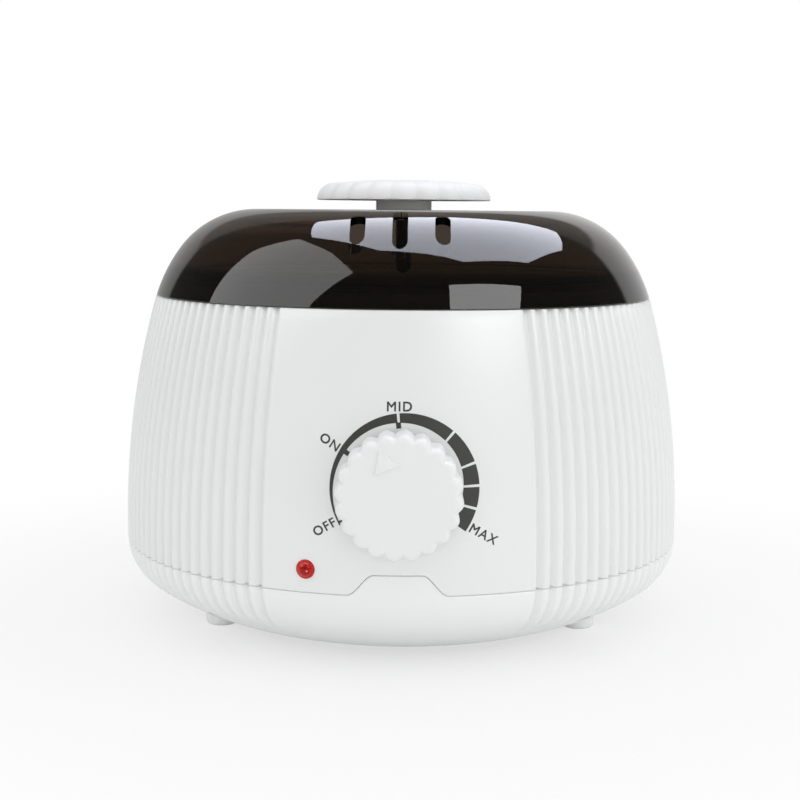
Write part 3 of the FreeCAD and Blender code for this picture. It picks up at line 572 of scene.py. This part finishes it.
def ribbed(bm, is_skin, fade):
    """Draw the skin in to soft valleys between wide, slightly crowned ribs, with a plain panel in front."""
    bm.transform(Matrix.Rotation(FIRST_GROOVE, 4, "Z"))
    for vert in bm.verts:
        radius = math.hypot(vert.co.x, vert.co.y)
        if not is_skin(radius, vert.co.z):
            continue
        along = (math.atan2(vert.co.y, vert.co.x) - FIRST_GROOVE) / PITCH % PITCHES
        nearest = round(along)
        off = along - nearest
        if LAST_GROOVE + GROOVE_MARGIN < along < PITCHES - GROOVE_MARGIN:
            continue
        drawn = math.copysign(abs(2 * off) ** COLUMN_PULL / 2, off)
        inside = nearest % PITCHES <= LAST_GROOVE
        beyond_edge = (nearest == LAST_GROOVE and off > 0) or (nearest % PITCHES == 0 and off < 0)
        reach = drawn * PITCH * radius
        depth = GROOVE_DEPTH * math.exp(-abs(reach / GROOVE_HALF) ** GROOVE_STEEPNESS) if inside else 0
        if inside and not beyond_edge:
            depth += RIB_CROWN * (1 - abs(2 * drawn)) ** 2
        elif beyond_edge:
            depth += RIB_CROWN * max(1 - abs(2 * drawn) * PANEL_EDGE_FALL, 0) ** 2
        angle = FIRST_GROOVE + (nearest + drawn) * PITCH
        radius -= depth * fade(vert.co)
        vert.co.x, vert.co.y = radius * math.cos(angle), radius * math.sin(angle)


def tab_lift(x, grow=0.0):
    """Height of the front tab's outline over the seam at a distance from the middle."""
    return (TAB_RISE + grow) * (1 - ease(TAB_TOP + grow, TAB_FOOT + grow, abs(x - TAB_MIDDLE)))


def housing():
    edge, low_edge, skin_depth = 0.35, 0.6, 0.5
    top_turn = turn_at(DECK_Z - edge - WIDEST_Z, SIDE_R)
    inner_turn = turn_at(DECK_Z - WALL - WIDEST_Z, SIDE_R - WALL)
    low = SEAM_Z + SEAM_GAP
    shape = Outline(BODY_R - low_edge, low).arc((BODY_R - low_edge, low + low_edge), 90, 4)
    shape.line(BODY_R, WIDEST_Z, 6).arc(SIDE_CENTRE, top_turn, 22)
    shape.line(TOP_R - edge, DECK_Z).line(COLLAR_R, DECK_Z)
    shape.line(COLLAR_R, SHELF_Z - edge).arc((COLLAR_R - edge, SHELF_Z - edge), 90, 3)
    shape.line(SHELF_INNER_R, SHELF_Z).line(SHELF_INNER_R, SHELF_Z - WALL)
    shape.line(COLLAR_INNER_R, SHELF_Z - WALL).line(COLLAR_INNER_R, DECK_Z - WALL)
    shape.line(SIDE_CENTRE[0] + (SIDE_R - WALL) * cos(inner_turn), DECK_Z - WALL)
    shape.arc(SIDE_CENTRE, -inner_turn, 10).line(BODY_R - WALL, low, 6)
    bm = shape.spun(PITCHES * COLUMNS)
    ribbed(bm, lambda r, z: r > side_r(z) - skin_depth and z < DECK_Z + edge, lambda place: 1.0)
    raised = WIDEST_Z + TAB_REACH
    for vert in bm.verts:
        if vert.co.y < 0 and vert.co.z < raised:
            vert.co.z += tab_lift(vert.co.x, SEAM_GAP) * (1 - ease(low, raised, vert.co.z)) ** 0.5
    inside, outside = 80, BODY_R + 2
    seats = [faced(rod(DIAL_BORE_R, inside, outside, DIAL_SEAT_R, DIAL_SEAT), DIAL_Z),
             faced(rod(LAMP_BORE_R, inside, outside, LAMP_SEAT_R, LAMP_SEAT), LAMP_Z, -LAMP_TURN),
             faced(rod(GLAND_BORE_R, inside, outside, GLAND_SEAT_R, GLAND_SEAT), GLAND_Z, GLAND_TURN)]
    return carved(mesh_of(bm, "outer_housing", sharp=50), joined(*seats))


def base():
    edge, skin_depth, seam_play = 0.55, 0.8, 0.1
    edge_turn = turn_at(edge, CORNER_R)
    lip_turn = turn_at(SEAM_Z - LIP_LOW, CORNER_R - WALL)
    shape = Outline(0, BASE_LOW).line(EDGE_CENTRE[0], BASE_LOW, 4)
    shape.arc(EDGE_CENTRE, EDGE_TURN, 6).arc(LOWER_CENTRE, LOWER_TURN, 8)
    shape.arc(CORNER_CENTRE, CORNER_TURN - edge_turn, 18).arc((BASE_R - edge, SEAM_Z - edge), 90, 4)
    shape.line(LIP_R, SEAM_Z).line(LIP_R, LIP_TOP).line(LIP_INNER_R, LIP_TOP).line(LIP_INNER_R, LIP_LOW)
    shape.line(CORNER_CENTRE[0] + (CORNER_R - WALL) * cos(lip_turn), LIP_LOW)
    shape.arc(CORNER_CENTRE, lip_turn - CORNER_TURN, 6).arc(LOWER_CENTRE, -LOWER_TURN, 4)
    shape.arc(EDGE_CENTRE, -EDGE_TURN, 3).line(0, BASE_LOW + WALL, 2)
    bm = shape.spun(PITCHES * COLUMNS, closed=False)

    def is_skin(r, z):
        from_centre = math.hypot(r - CORNER_CENTRE[0], z - SEAM_Z)
        return z < SEAM_Z + seam_play and r > CORNER_CENTRE[0] and from_centre > CORNER_R - skin_depth

    def groove_share(place):
        """The grooves fade out towards the bottom and round the screw holes."""
        post = POST_CIRCLE * cos(FIRST_POST)
        from_screw = math.hypot(abs(place.x) - post, abs(place.y) - post)
        return ease(FADE_LOW, FADE_TOP, place.z) * ease(SCREW_PLAIN_R, SCREW_FADE_R, from_screw)

    def at_posts(bm):
        return ringed(moved(bm, POST_CIRCLE, 0), POSTS, FIRST_POST)

    def at_feet(radius, low, high):
        return [moved(rod(radius, low, high), x, y) for x, y in FOOT_SPOTS.values()]

    for vert in bm.verts:
        reach = math.hypot(vert.co.x, vert.co.y)
        if is_skin(reach, vert.co.z):
            drawn_out = 1 + BASE_FLARE * ease(FLARE_LOW, FLARE_TOP, vert.co.z) / reach
            vert.co.x, vert.co.y = vert.co.x * drawn_out, vert.co.y * drawn_out
    ribbed(bm, is_skin, groove_share)
    tab_low, tab_inside = SEAM_Z - edge - 0.05, LIP_INNER_R - 1
    for vert in bm.verts:
        if vert.co.y < 0 and vert.co.z > tab_low and math.hypot(vert.co.x, vert.co.y) > tab_inside:
            vert.co.z += tab_lift(vert.co.x)
    mesh = mesh_of(bm, "base_cover", sharp=50)

    bosses = [at_posts(rod(BOSS_R, BOSS_LOW, BOSS_TOP)), *at_feet(FOOT_BOSS_R, FOOT_HEIGHT, FOOT_BOSS_TOP)]
    mesh = carved(mesh, joined(*bosses), "UNION")
    sinks = [at_posts(rod(SINK_R, 0, SINK_TOP)), *at_feet(FOOT_BOSS_R + FOOT_PLAY, 0, FOOT_HEIGHT)]
    mesh = carved(mesh, joined(*sinks))
    return carved(mesh, at_posts(rod(SHANK_HOLE_R, SINK_TOP - 1, BOSS_TOP + 1)))


def foot(x, y):
    edge = 1.2
    shape = Outline(0, 0).line(FOOT_R - edge, 0, 2).arc((FOOT_R - edge, edge), 90, 6)
    return moved(shape.line(FOOT_R, FOOT_HEIGHT).line(0, FOOT_HEIGHT).spun(48, closed=False), x, y)


def screws(head_r, head_height, shank_r, shank_length, slot_width, slot_depth):
    """A pan-head screw along Z, its head on top with its underside at 0, and the cutter for its slot."""
    edge, tip_edge, tip = head_height * 0.55, 0.3, 0.4
    shape = Outline(0, -shank_length).line(shank_r - tip_edge, -shank_length)
    shape.line(shank_r, tip - shank_length).line(shank_r, 0).line(head_r, 0)
    shape.line(head_r, head_height - edge).arc((head_r - edge, head_height - edge), 90, 6)
    screw = shape.line(0, head_height).spun(40, closed=False)
    slot = bmesh.new()
    bmesh.ops.create_cube(slot, size=1)
    bmesh.ops.scale(slot, verts=slot.verts, vec=(slot_width, head_r * 3, slot_depth * 2))
    return screw, moved(slot, 0, 0, head_height)


def base_screws():
    head_down = Matrix.Rotation(math.radians(180), 4, "X")
    shapes = screws(head_r=2.8, head_height=2.0, shank_r=1.5, shank_length=14.4,
                    slot_width=0.8, slot_depth=0.9)
    for turn, shape in zip((0, BASE_SLOT_TURN), shapes):
        shape.transform(about_z(turn))
        shape.transform(Matrix.Translation((POST_CIRCLE, 0, SINK_TOP)) @ head_down)
        ringed(shape, POSTS, FIRST_POST)
    return carved(mesh_of(shapes[0], "base_screws"), shapes[1])


def well_screws():
    shapes = screws(head_r=2.6, head_height=1.6, shank_r=1.5, shank_length=6.0,
                    slot_width=0.7, slot_depth=0.7)
    for turn, shape in zip((0, WELL_SLOT_TURN), shapes):
        shape.transform(about_z(turn))
        ringed(moved(shape, WELL_SCREW_CIRCLE, 0, SEAT_Z), WELL_SCREWS, FIRST_WELL_SCREW)
    return carved(mesh_of(shapes[0], "well_screws"), shapes[1])


# Lid, well and pot

def vent(x, front, length):
    """A prism with round ends that cuts a slot down through the lid, back from a place in front."""
    steps = 32
    half_step = FULL / steps / 2
    bm = bmesh.new()
    bmesh.ops.create_circle(bm, cap_ends=True, radius=VENT_WIDTH / 2, segments=steps)
    bm.transform(Matrix.Scale(1 / math.cos(half_step), 4, (1, 0, 0)) @ Matrix.Rotation(half_step, 4, "Z"))
    rear = [vert for vert in bm.verts if vert.co.y > 0]
    bmesh.ops.translate(bm, verts=rear, vec=(0, length - VENT_WIDTH, 0))
    risen(bm, VENT_REACH)
    moved(tidied(bm), x, front, DECK_Z + VENT_LOW)
    bm.transform(about_z(VENT_TURN))
    return bm


def lid():
    """The dome: a flat top, a round shoulder and a flatter skirt, with three slots."""
    edge = 0.3
    rim = turn_at(DECK_Z + edge - SKIRT_CENTRE[1], SKIRT_R)
    inner_rim = turn_at(DECK_Z - SKIRT_CENTRE[1], SKIRT_R - LID_WALL)
    shape = Outline(TOP_R - edge, DECK_Z)
    shape.line(SKIRT_CENTRE[0] + SKIRT_R * cos(rim), DECK_Z + edge)
    shape.arc(SKIRT_CENTRE, SHOULDER_TURN - rim, 16).arc(SHOULDER_CENTRE, 90 - SHOULDER_TURN, 32)
    shape.line(LID_HOLE_R, LID_TOP_Z, 5).line(LID_HOLE_R, LID_TOP_Z - LID_WALL)
    shape.line(SHOULDER_CENTRE[0], LID_TOP_Z - LID_WALL, 5).arc(SHOULDER_CENTRE, SHOULDER_TURN - 90, 24)
    shape.arc(SKIRT_CENTRE, inner_rim - SHOULDER_TURN, 12)
    mesh = mesh_of(shape.spun(288), "lid_dome", sharp=50)
    return carved(mesh, joined(*[vent(*row) for row in VENTS]))


def lid_knob():
    low_edge, straight = 0.25, 0.2
    flat = KNOB_R - KNOB_EDGE
    crown_centre = (0, KNOB_TOP_Z - KNOB_CROWN)
    crown_turn = math.degrees(math.acos(flat / (KNOB_CROWN - KNOB_EDGE)))
    edge_z = crown_centre[1] + (KNOB_CROWN - KNOB_EDGE) * sin(crown_turn)
    start = turn_at(straight, KNOB_EDGE)
    shape = Outline(0, KNOB_LOW_Z).line(KNOB_R - low_edge, KNOB_LOW_Z, 10)
    shape.line(flat + KNOB_EDGE * cos(start), edge_z + straight)
    shape.arc((flat, edge_z), crown_turn - start, 18).arc(crown_centre, 90 - crown_turn, 12)
    bm = shape.spun(KNOB_LOBES * LOBE_STEPS, closed=False)
    lobed(bm, KNOB_LOBES, KNOB_LOBE_DEPTH, lambda r: ease(KNOB_LOBE_START, KNOB_LOBE_FULL, r))
    return mesh_of(bm, "lid_knob", sharp=50)


def stem():
    edge = 0.25
    shape = Outline(LID_HOLE_R, LID_TOP_Z).line(STEM_R - edge, LID_TOP_Z).line(STEM_R, LID_TOP_Z + edge)
    shape.line(STEM_R, KNOB_LOW_Z).line(LID_HOLE_R, KNOB_LOW_Z)
    return mesh_of(shape.spun(96), "lid_knob_stem")


def pot():
    """A spun pot with a flat flange that ends in a rolled lip."""
    bend, roll = 0.8, POT_WALL / 2
    inner, top = POT_R - POT_WALL, SEAT_Z + POT_WALL
    corner = (POT_R - POT_CORNER, POT_LOW + POT_CORNER)
    shape = Outline(0, POT_LOW).line(corner[0], POT_LOW, 4).arc(corner, 90, 12)
    shape.line(POT_R, SEAT_Z - bend, 8).arc((POT_R + bend, SEAT_Z - bend), -90, 5)
    shape.line(POT_RIM_R - bend, SEAT_Z, 3).arc((POT_RIM_R - bend, SEAT_Z + bend), 90, 5)
    shape.line(POT_RIM_R, POT_TOP - roll).arc((POT_RIM_R - roll, POT_TOP - roll), 180, 8)
    shape.line(POT_RIM_R - POT_WALL, top + bend / 2)
    shape.arc((POT_RIM_R - POT_WALL - bend / 2, top + bend / 2), -90, 4)
    shape.line(inner + bend, top, 3).arc((inner + bend, top - bend), 90, 5)
    shape.line(inner, corner[1], 8).arc(corner, -90, 12).line(0, POT_LOW + POT_WALL, 4)
    return mesh_of(shape.spun(192, closed=False), "wax_pot", sharp=50)


def well():
    bend, low_edge, top_edge = 0.8, 0.5, 0.3
    inner = WELL_R - WELL_WALL
    corner = (WELL_R - WELL_CORNER, WELL_LOW + WELL_CORNER)
    shape = Outline(0, WELL_LOW).line(corner[0], WELL_LOW, 4).arc(corner, 90, 12)
    shape.line(WELL_R, SHELF_Z - bend, 8).arc((WELL_R + bend, SHELF_Z - bend), -90, 5)
    shape.line(WELL_FLANGE_R - low_edge, SHELF_Z, 3).line(WELL_FLANGE_R, SHELF_Z + low_edge)
    shape.line(WELL_FLANGE_R, SEAT_Z - top_edge).line(WELL_FLANGE_R - top_edge, SEAT_Z)
    shape.line(inner + bend, SEAT_Z, 3).arc((inner + bend, SEAT_Z - bend), 90, 5)
    shape.line(inner, corner[1], 8).arc(corner, -90, 12).line(0, WELL_LOW + WELL_WALL, 4)
    return mesh_of(shape.spun(192, closed=False), "heating_well", sharp=50)


# Dial, lamp and gland

def pointer():
    """A raised arrowhead on the dial's face that points to its rim, with its top drawn in softly."""
    tip, tail, half, deep, proud = 14.8, 8.6, 4.0, 0.8, 0.35
    bm = bmesh.new()
    bmesh.ops.create_circle(bm, cap_ends=True, segments=3, radius=1)
    for vert in bm.verts:
        at_tip = vert.co.y > 0.5
        aside, along = (0, tip) if at_tip else (math.copysign(half, vert.co.x), tail)
        vert.co = (aside, along, DIAL_FRONT - deep)
    top = [part for part in risen(bm, deep + proud) if isinstance(part, bmesh.types.BMFace)]
    for inward, upward in ((0.1, 0.2), (0.16, 0.16), (0.24, 0.09)):
        bmesh.ops.inset_region(bm, faces=top, thickness=inward, depth=0)
        corners = {vert for face in top for vert in face.verts}
        bmesh.ops.translate(bm, verts=list(corners), vec=(0, 0, upward))
    return tidied(bm)


def dial_knob():
    hub_r, hub_back, face_back, hollow_r = 5.5, 94.3, 101.7, 14.2
    edge, back_edge = 2.2, 0.3
    shape = Outline(0, hub_back).line(hub_r, hub_back).line(hub_r, face_back, 2)
    shape.line(hollow_r, face_back, 2).line(hollow_r, DIAL_BACK, 4).line(DIAL_R - back_edge, DIAL_BACK)
    shape.line(DIAL_R, DIAL_BACK + back_edge).line(DIAL_R, DIAL_FRONT - edge, 6)
    shape.arc((DIAL_R - edge, DIAL_FRONT - edge), 90, 10).line(0, DIAL_FRONT, 10)
    outside = hollow_r + 0.05
    bm = shape.spun(DIAL_LOBES * LOBE_STEPS, closed=False)
    lobed(bm, DIAL_LOBES, DIAL_LOBE_DEPTH,
          lambda r: ease(DIAL_LOBE_START, DIAL_LOBE_FULL, r) if r > outside else 0)
    bm = joined(bm, pointer())
    bm.transform(about_z(DIAL_REST))
    return mesh_of(faced(bm, DIAL_Z), "dial_knob", sharp=50)


def lens():
    """The lamp's red lens: a tail in the wall, a thin flange and a dome."""
    tail, radius, flange_r, flange, dome, edge = 3.0, 2.3, 2.75, 0.7, 1.5, 0.3
    back, front = LAMP_SEAT - tail, LAMP_SEAT + flange
    ball = (radius ** 2 + dome ** 2) / (2 * dome)
    shape = Outline(0, back).line(radius, back).line(radius, LAMP_SEAT).line(flange_r, LAMP_SEAT)
    shape.line(flange_r, front - edge).arc((flange_r - edge, front - edge), 90, 4)
    shape.line(radius, front).arc((0, front + dome - ball), 90 - turn_at(ball - dome, ball), 14)
    return mesh_of(faced(shape.spun(64, closed=False), LAMP_Z, -LAMP_TURN), "indicator_lens", sharp=28)


def gland():
    """A rubber bush in the rear wall with a rounded flange outside and a locking ring inside."""
    bore, neck, flange_r, lock_r = 3.3, 5.5, 8.0, 6.8
    groove, flange, lock = 3.0, 2.0, 1.6
    edge, mouth, lock_edge = 0.7, 0.5, 0.4
    pad, out = GLAND_SEAT - groove, GLAND_SEAT + flange
    back = pad - lock
    shape = Outline(bore, back).line(lock_r - lock_edge, back).line(lock_r, back + lock_edge)
    shape.line(lock_r, pad).line(neck, pad).line(neck, GLAND_SEAT).line(flange_r, GLAND_SEAT)
    shape.line(flange_r, out - edge).arc((flange_r - edge, out - edge), 90, 6)
    shape.line(bore + mouth, out, 2).arc((bore + mouth, out - mouth), 90, 5)
    return mesh_of(faced(shape.spun(64), GLAND_Z, GLAND_TURN), "cord_gland")


# Printed scale

def band(start, end):
    """A stretch of the scale's band, which widens clockwise."""
    inner, between = SCALE_R - 2, SCALE_R - 1
    bm = bmesh.new()
    bmesh.ops.create_circle(bm, segments=3, radius=1)
    bmesh.ops.delete(bm, geom=bm.verts[2:], context="VERTS")
    bm.verts.ensure_lookup_table()
    for vert, radius in zip(bm.verts, (inner, SCALE_R)):
        vert.co = (radius * sin(start), radius * cos(start), 0)
    bmesh.ops.spin(bm, geom=bm.verts[:] + bm.edges[:], cent=(0, 0, 0), axis=(0, 0, -1),
                   angle=math.radians(end - start), steps=max(round((end - start) / 2), 2))
    for vert in bm.verts:
        if vert.co.length < between:
            clockwise = math.degrees(math.atan2(vert.co.x, vert.co.y))
            share = (clockwise - SCALE_START) / (SCALE_END - SCALE_START)
            vert.co *= (SCALE_R - SCALE_THIN - SCALE_GROWTH * share) / vert.co.length
    return bm


def tick(width, low, high, turn, taper=1.0):
    """A small mark across the scale, turned clockwise."""
    bm = bmesh.new()
    bmesh.ops.create_grid(bm, x_segments=1, y_segments=1, size=0.5)
    for vert in bm.verts:
        share, height = (1, high) if vert.co.y > 0 else (taper, low)
        vert.co = (vert.co.x * width * share, height, 0)
    bm.transform(about_z(-turn))
    return bm


def thickened(bm, growth):
    """Move the border of a flat shape that faces +Z outwards."""
    moves = {}
    for edge in bm.edges:
        if edge.is_boundary:
            corner = edge.link_loops[0]
            along = corner.link_loop_next.vert.co - corner.vert.co
            outward = Vector((along.y, -along.x, 0)).normalized()
            for vert in edge.verts:
                moves[vert] = moves.get(vert, Vector()) + outward
    for vert, move in moves.items():
        vert.co += move.normalized() * growth
    return bm


def legend(words, x, y, turn):
    """A short word in the scale's plane, sized by its height, with its strokes a little heavier."""
    curve = bpy.data.curves.new(words, "FONT")
    curve.body, curve.align_x, curve.align_y, curve.resolution_u = words, "CENTER", "CENTER", 4
    curve.space_character = LETTER_SPACING
    holder = bpy.data.objects.new(words, curve)
    mesh = bpy.data.meshes.new_from_object(holder)
    bm = bmesh.new()
    bm.from_mesh(mesh)
    lows, highs = ([pick(vert.co[axis] for vert in bm.verts) for axis in (0, 1)] for pick in (min, max))
    middle = Vector([(low + high) / 2 for low, high in zip(lows, highs)] + [0])
    bm.transform(Matrix.Scale(CAP_HEIGHT / (highs[1] - lows[1]), 4) @ Matrix.Translation(-middle))
    bmesh.ops.remove_doubles(bm, verts=bm.verts, dist=SAME_SPOT)
    bmesh.ops.reverse_faces(bm, faces=[face for face in bm.faces if face.normal.z < 0])
    thickened(bm, STROKE_GROWTH)
    bm.transform(Matrix.Translation((x, y, 0)) @ about_z(turn))
    bpy.data.objects.remove(holder)
    bpy.data.curves.remove(curve)
    bpy.data.meshes.remove(mesh)
    return bm


def scale_print():
    """The scale and its legends as a thin layer of ink that follows the housing's curved front."""
    gap_r = SCALE_R - 1.5
    half_gap = math.degrees(SCALE_GAP_WIDTH / 2 / gap_r)
    starts = [SCALE_START] + [gap + half_gap for gap in SCALE_GAPS]
    ends = [gap - half_gap for gap in SCALE_GAPS] + [SCALE_END]
    bands = [band(start, end) for start, end in zip(starts, ends)]
    bm = joined(*bands, *[tick(*row) for row in TICKS], *[legend(*row) for row in LEGENDS])
    tidied(bm)
    bmesh.ops.reverse_faces(bm, faces=[face for face in bm.faces if face.normal.z < 0])
    bmesh.ops.solidify(bm, geom=bm.faces[:], thickness=INK_LAYER)
    top = max(vert.co.z for vert in bm.verts)
    for vert in bm.verts:
        x, z = vert.co.x + SCALE_CENTRE[0], vert.co.y + DIAL_Z + SCALE_CENTRE[1]
        vert.co = (x, -math.sqrt(side_r(z) ** 2 - x * x) - INK_PROUD - vert.co.z + top, z)
    bmesh.ops.recalc_face_normals(bm, faces=bm.faces)
    return mesh_of(bm, "dial_scale_print")


piece("outer_housing_shell", housing(), "base", finishes["white_plastic"],
      ["outer_housing"])
piece("base_cover_shell", base(), "base", base_white_painted_light, ["base_cover"])
for spot, (x, y) in FOOT_SPOTS.items():
    piece(f"foot_pad_{spot}", mesh_of(foot(x, y), "foot"), "base", finishes["foot_rubber"],
          [f"foot_{spot}"])
piece("base_pan_screws", base_screws(), "base", finishes["steel"], ["base_screws"])
piece("well_pan_screws", well_screws(), "base", finishes["steel"], ["well_screws"])
piece("heating_well_bowl", well(), "base", finishes["spun_aluminium"], ["heating_well"])
piece("lamp_lens", lens(), "base", finishes["red_lens"], ["indicator_lens"])
piece("cord_bush", gland(), "base", finishes["gland_rubber"], ["cord_gland"])
piece("dial_scale_print", scale_print(), "base", print_ink)
piece("dial_hand_knob", dial_knob(), "dial", dial_white, ["dial_knob"])
piece("wax_pot_spun", pot(), "pot", finishes["spun_aluminium"], ["wax_pot"])
piece("lid_smoked_dome", lid(), "lid", finishes["smoked_plastic"], ["lid_dome"])
piece("lid_hand_knob", lid_knob(), "lid", lid_knob_white_painted_light, ["lid_knob"])
piece("lid_knob_collar", stem(), "lid", finishes["grey_plastic"], ["lid_knob_stem"])


# Stage

def floor():
    """A white floor that glows for the eye, less so under the object, where its shadow shows."""
    half, shadow_r, plain_r, shadow_glow = 6000, 0.1, 0.28, 0.6
    bm = bmesh.new()
    bmesh.ops.create_grid(bm, x_segments=1, y_segments=1, size=half)
    made = in_scene("floor", mesh_of(bm, "floor"))
    finish = Finish("floor_white")
    x, y, _ = finish.split(finish.place())
    away = finish.step(shadow_r, plain_r, (x * x + y * y) ** 0.5)
    cloud = finish.noise(2.0, 2.0)
    matt = finish.node("ShaderNodeBsdfDiffuse", {}, {
        "Color": finish.mix(cloud, (0.95, 0.95, 0.95), (0.97, 0.97, 0.97))})
    glow = finish.node("ShaderNodeEmission", {}, {"Color": (1, 1, 1, 1), "Strength": 1.0})
    shown = (shadow_glow + away * (1 - shadow_glow)) * finish.rays("Camera", "Glossy", "Transmission")
    finish.node("ShaderNodeOutputMaterial", {}, {
        "Surface": finish.node("ShaderNodeMixShader", {}, {0: shown, 1: matt, 2: glow})})
    made.data.materials.append(finish.owner)


def backdrop(ambient, dim, above, left, right, veil):
    """A white backdrop, veiled where clear plastic shows it.

    Reflections see a low wall behind the object, brighter on the right, and a dim room round the rest.
    """
    wall_edge, wall_top, wall_fade = (0.62, 0.68), (0.33, 0.39), (-0.1, 0.25)
    wall_lean, top_slope = 0.1, 0.2
    world = bpy.data.worlds.new("studio")
    bpy.context.scene.world = world
    sky = Finish("studio", world)
    x, y, z = sky.split(sky.node("ShaderNodeTexCoord", output="Generated"))
    through = sky.rays("Transmission")
    seen = sky.rays("Camera", "Transmission")
    gloss = sky.rays("Glossy") * (1 - seen)
    behind = sky.step(*wall_edge, y + x * wall_lean)
    low = 1 - sky.step(*wall_top, z - x.math("MAXIMUM", x, 0.0) * top_slope)
    wall = left + (right - left) * sky.step(*wall_fade, x)
    room = dim + behind * (above - dim + low * (wall - above))
    bounced = sky.node("ShaderNodeLightPath", output="Diffuse Depth")
    straight = through * (1 - bounced.math("MINIMUM", bounced, 1.0))
    light = seen - straight * veil + gloss * room + (1 - seen - gloss) * ambient
    glow = sky.node("ShaderNodeBackground", {}, {"Color": (1, 1, 1, 1), "Strength": light})
    sky.node("ShaderNodeOutputWorld", {}, {"Surface": glow})


def lamp(name, place, target, width, height, radiance):
    """A soft panel of a given radiance that lights the object and doesn't show in its gloss."""
    data = bpy.data.lights.new(name, "AREA")
    data.shape, data.size, data.size_y = "RECTANGLE", width, height
    data.energy = radiance * math.pi * width * height
    made = in_scene(name, data)
    aim = (Vector(target) - Vector(place)).to_track_quat("-Z", "Y").to_matrix().to_4x4()
    made.matrix_world = Matrix.Translation(place) @ aim
    made.visible_camera = made.visible_glossy = made.visible_transmission = False


def card(name, corners, radiance, tint=(1, 1, 1)):
    """A bright panel that only shows in outer gloss, with its corners in metres."""
    bm = bmesh.new()
    bmesh.ops.create_circle(bm, cap_ends=True, segments=len(corners), radius=1)
    for vert, corner in zip(bm.verts, corners):
        vert.co = Vector(corner) / MM
    made = in_scene(name, mesh_of(bm, name))
    finish = Finish(name)
    entered = finish.node("ShaderNodeLightPath", output="Transmission Depth")
    outside = 1 - entered.math("MINIMUM", entered, 1.0)
    glow = finish.node("ShaderNodeEmission", {}, {"Color": (*tint, 1), "Strength": radiance * outside})
    finish.node("ShaderNodeOutputMaterial", {}, {"Surface": glow})
    made.data.materials.append(finish.owner)
    made.visible_camera = made.visible_diffuse = made.visible_transmission = made.visible_shadow = False


def camera():
    around, down, roll = 0.35, 7.28, 0.48
    distance, height = 0.5, 0.1346
    data = bpy.data.cameras.new("camera")
    data.lens, data.sensor_width, data.shift_x = 66.5, 36.0, -2.16 / 800
    data.clip_start, data.clip_end = 0.01, 50
    made = in_scene("camera", data)
    tilt = Matrix.Rotation(math.radians(90 - down), 4, "X")
    made.matrix_world = about_z(around) @ Matrix.Translation((0, -distance, height)) @ tilt @ about_z(roll)
    bpy.context.scene.camera = made


floor()
backdrop(ambient=0.82, dim=0.06, above=0.22, left=0.5, right=0.85, veil=0.8)
lamp("overhead", (0, -0.1, 1.3), (0, 0, 0.05), width=1.2, height=1.2, radiance=0.15)
lamp("front", (0.2, -1.35, 0.17), (0, 0, 0.1), width=2.4, height=0.3, radiance=1.52)
lamp("right", (1.4, -0.15, 0.35), (0, 0, 0.08), width=0.8, height=0.8, radiance=1.4)
lamp("left", (-1.4, -0.15, 0.35), (0, 0, 0.08), width=0.8, height=0.8, radiance=0.55)
OCTAGON_X, OCTAGON_Y, OCTAGON_Z, OCTAGON_R = 0.18, 0.17, 0.73, 0.47
OCTAGON_ANGLES = [45 * corner + 10 for corner in range(8)]
card("overhead_card", [(OCTAGON_X + OCTAGON_R * cos(angle), OCTAGON_Y + OCTAGON_R * sin(angle), OCTAGON_Z)
                       for angle in OCTAGON_ANGLES], radiance=6.6, tint=(0.84, 0.88, 1))
card("left_card", [(-0.46, 0.16, 0.97), (-0.316, -0.55, 0.93), (-0.82, -0.78, 0.5), (-1.21, 0.12, 0.3)],
     radiance=2.6)
card("right_card", [(0.28, -0.61, 0.772), (0.653, -0.346, 0.679), (0.72, -0.64, 0.36), (0.34, -0.93, 0.45)],
     radiance=5.0)
camera()
bpy.context.scene.view_settings.view_transform = "Standard"
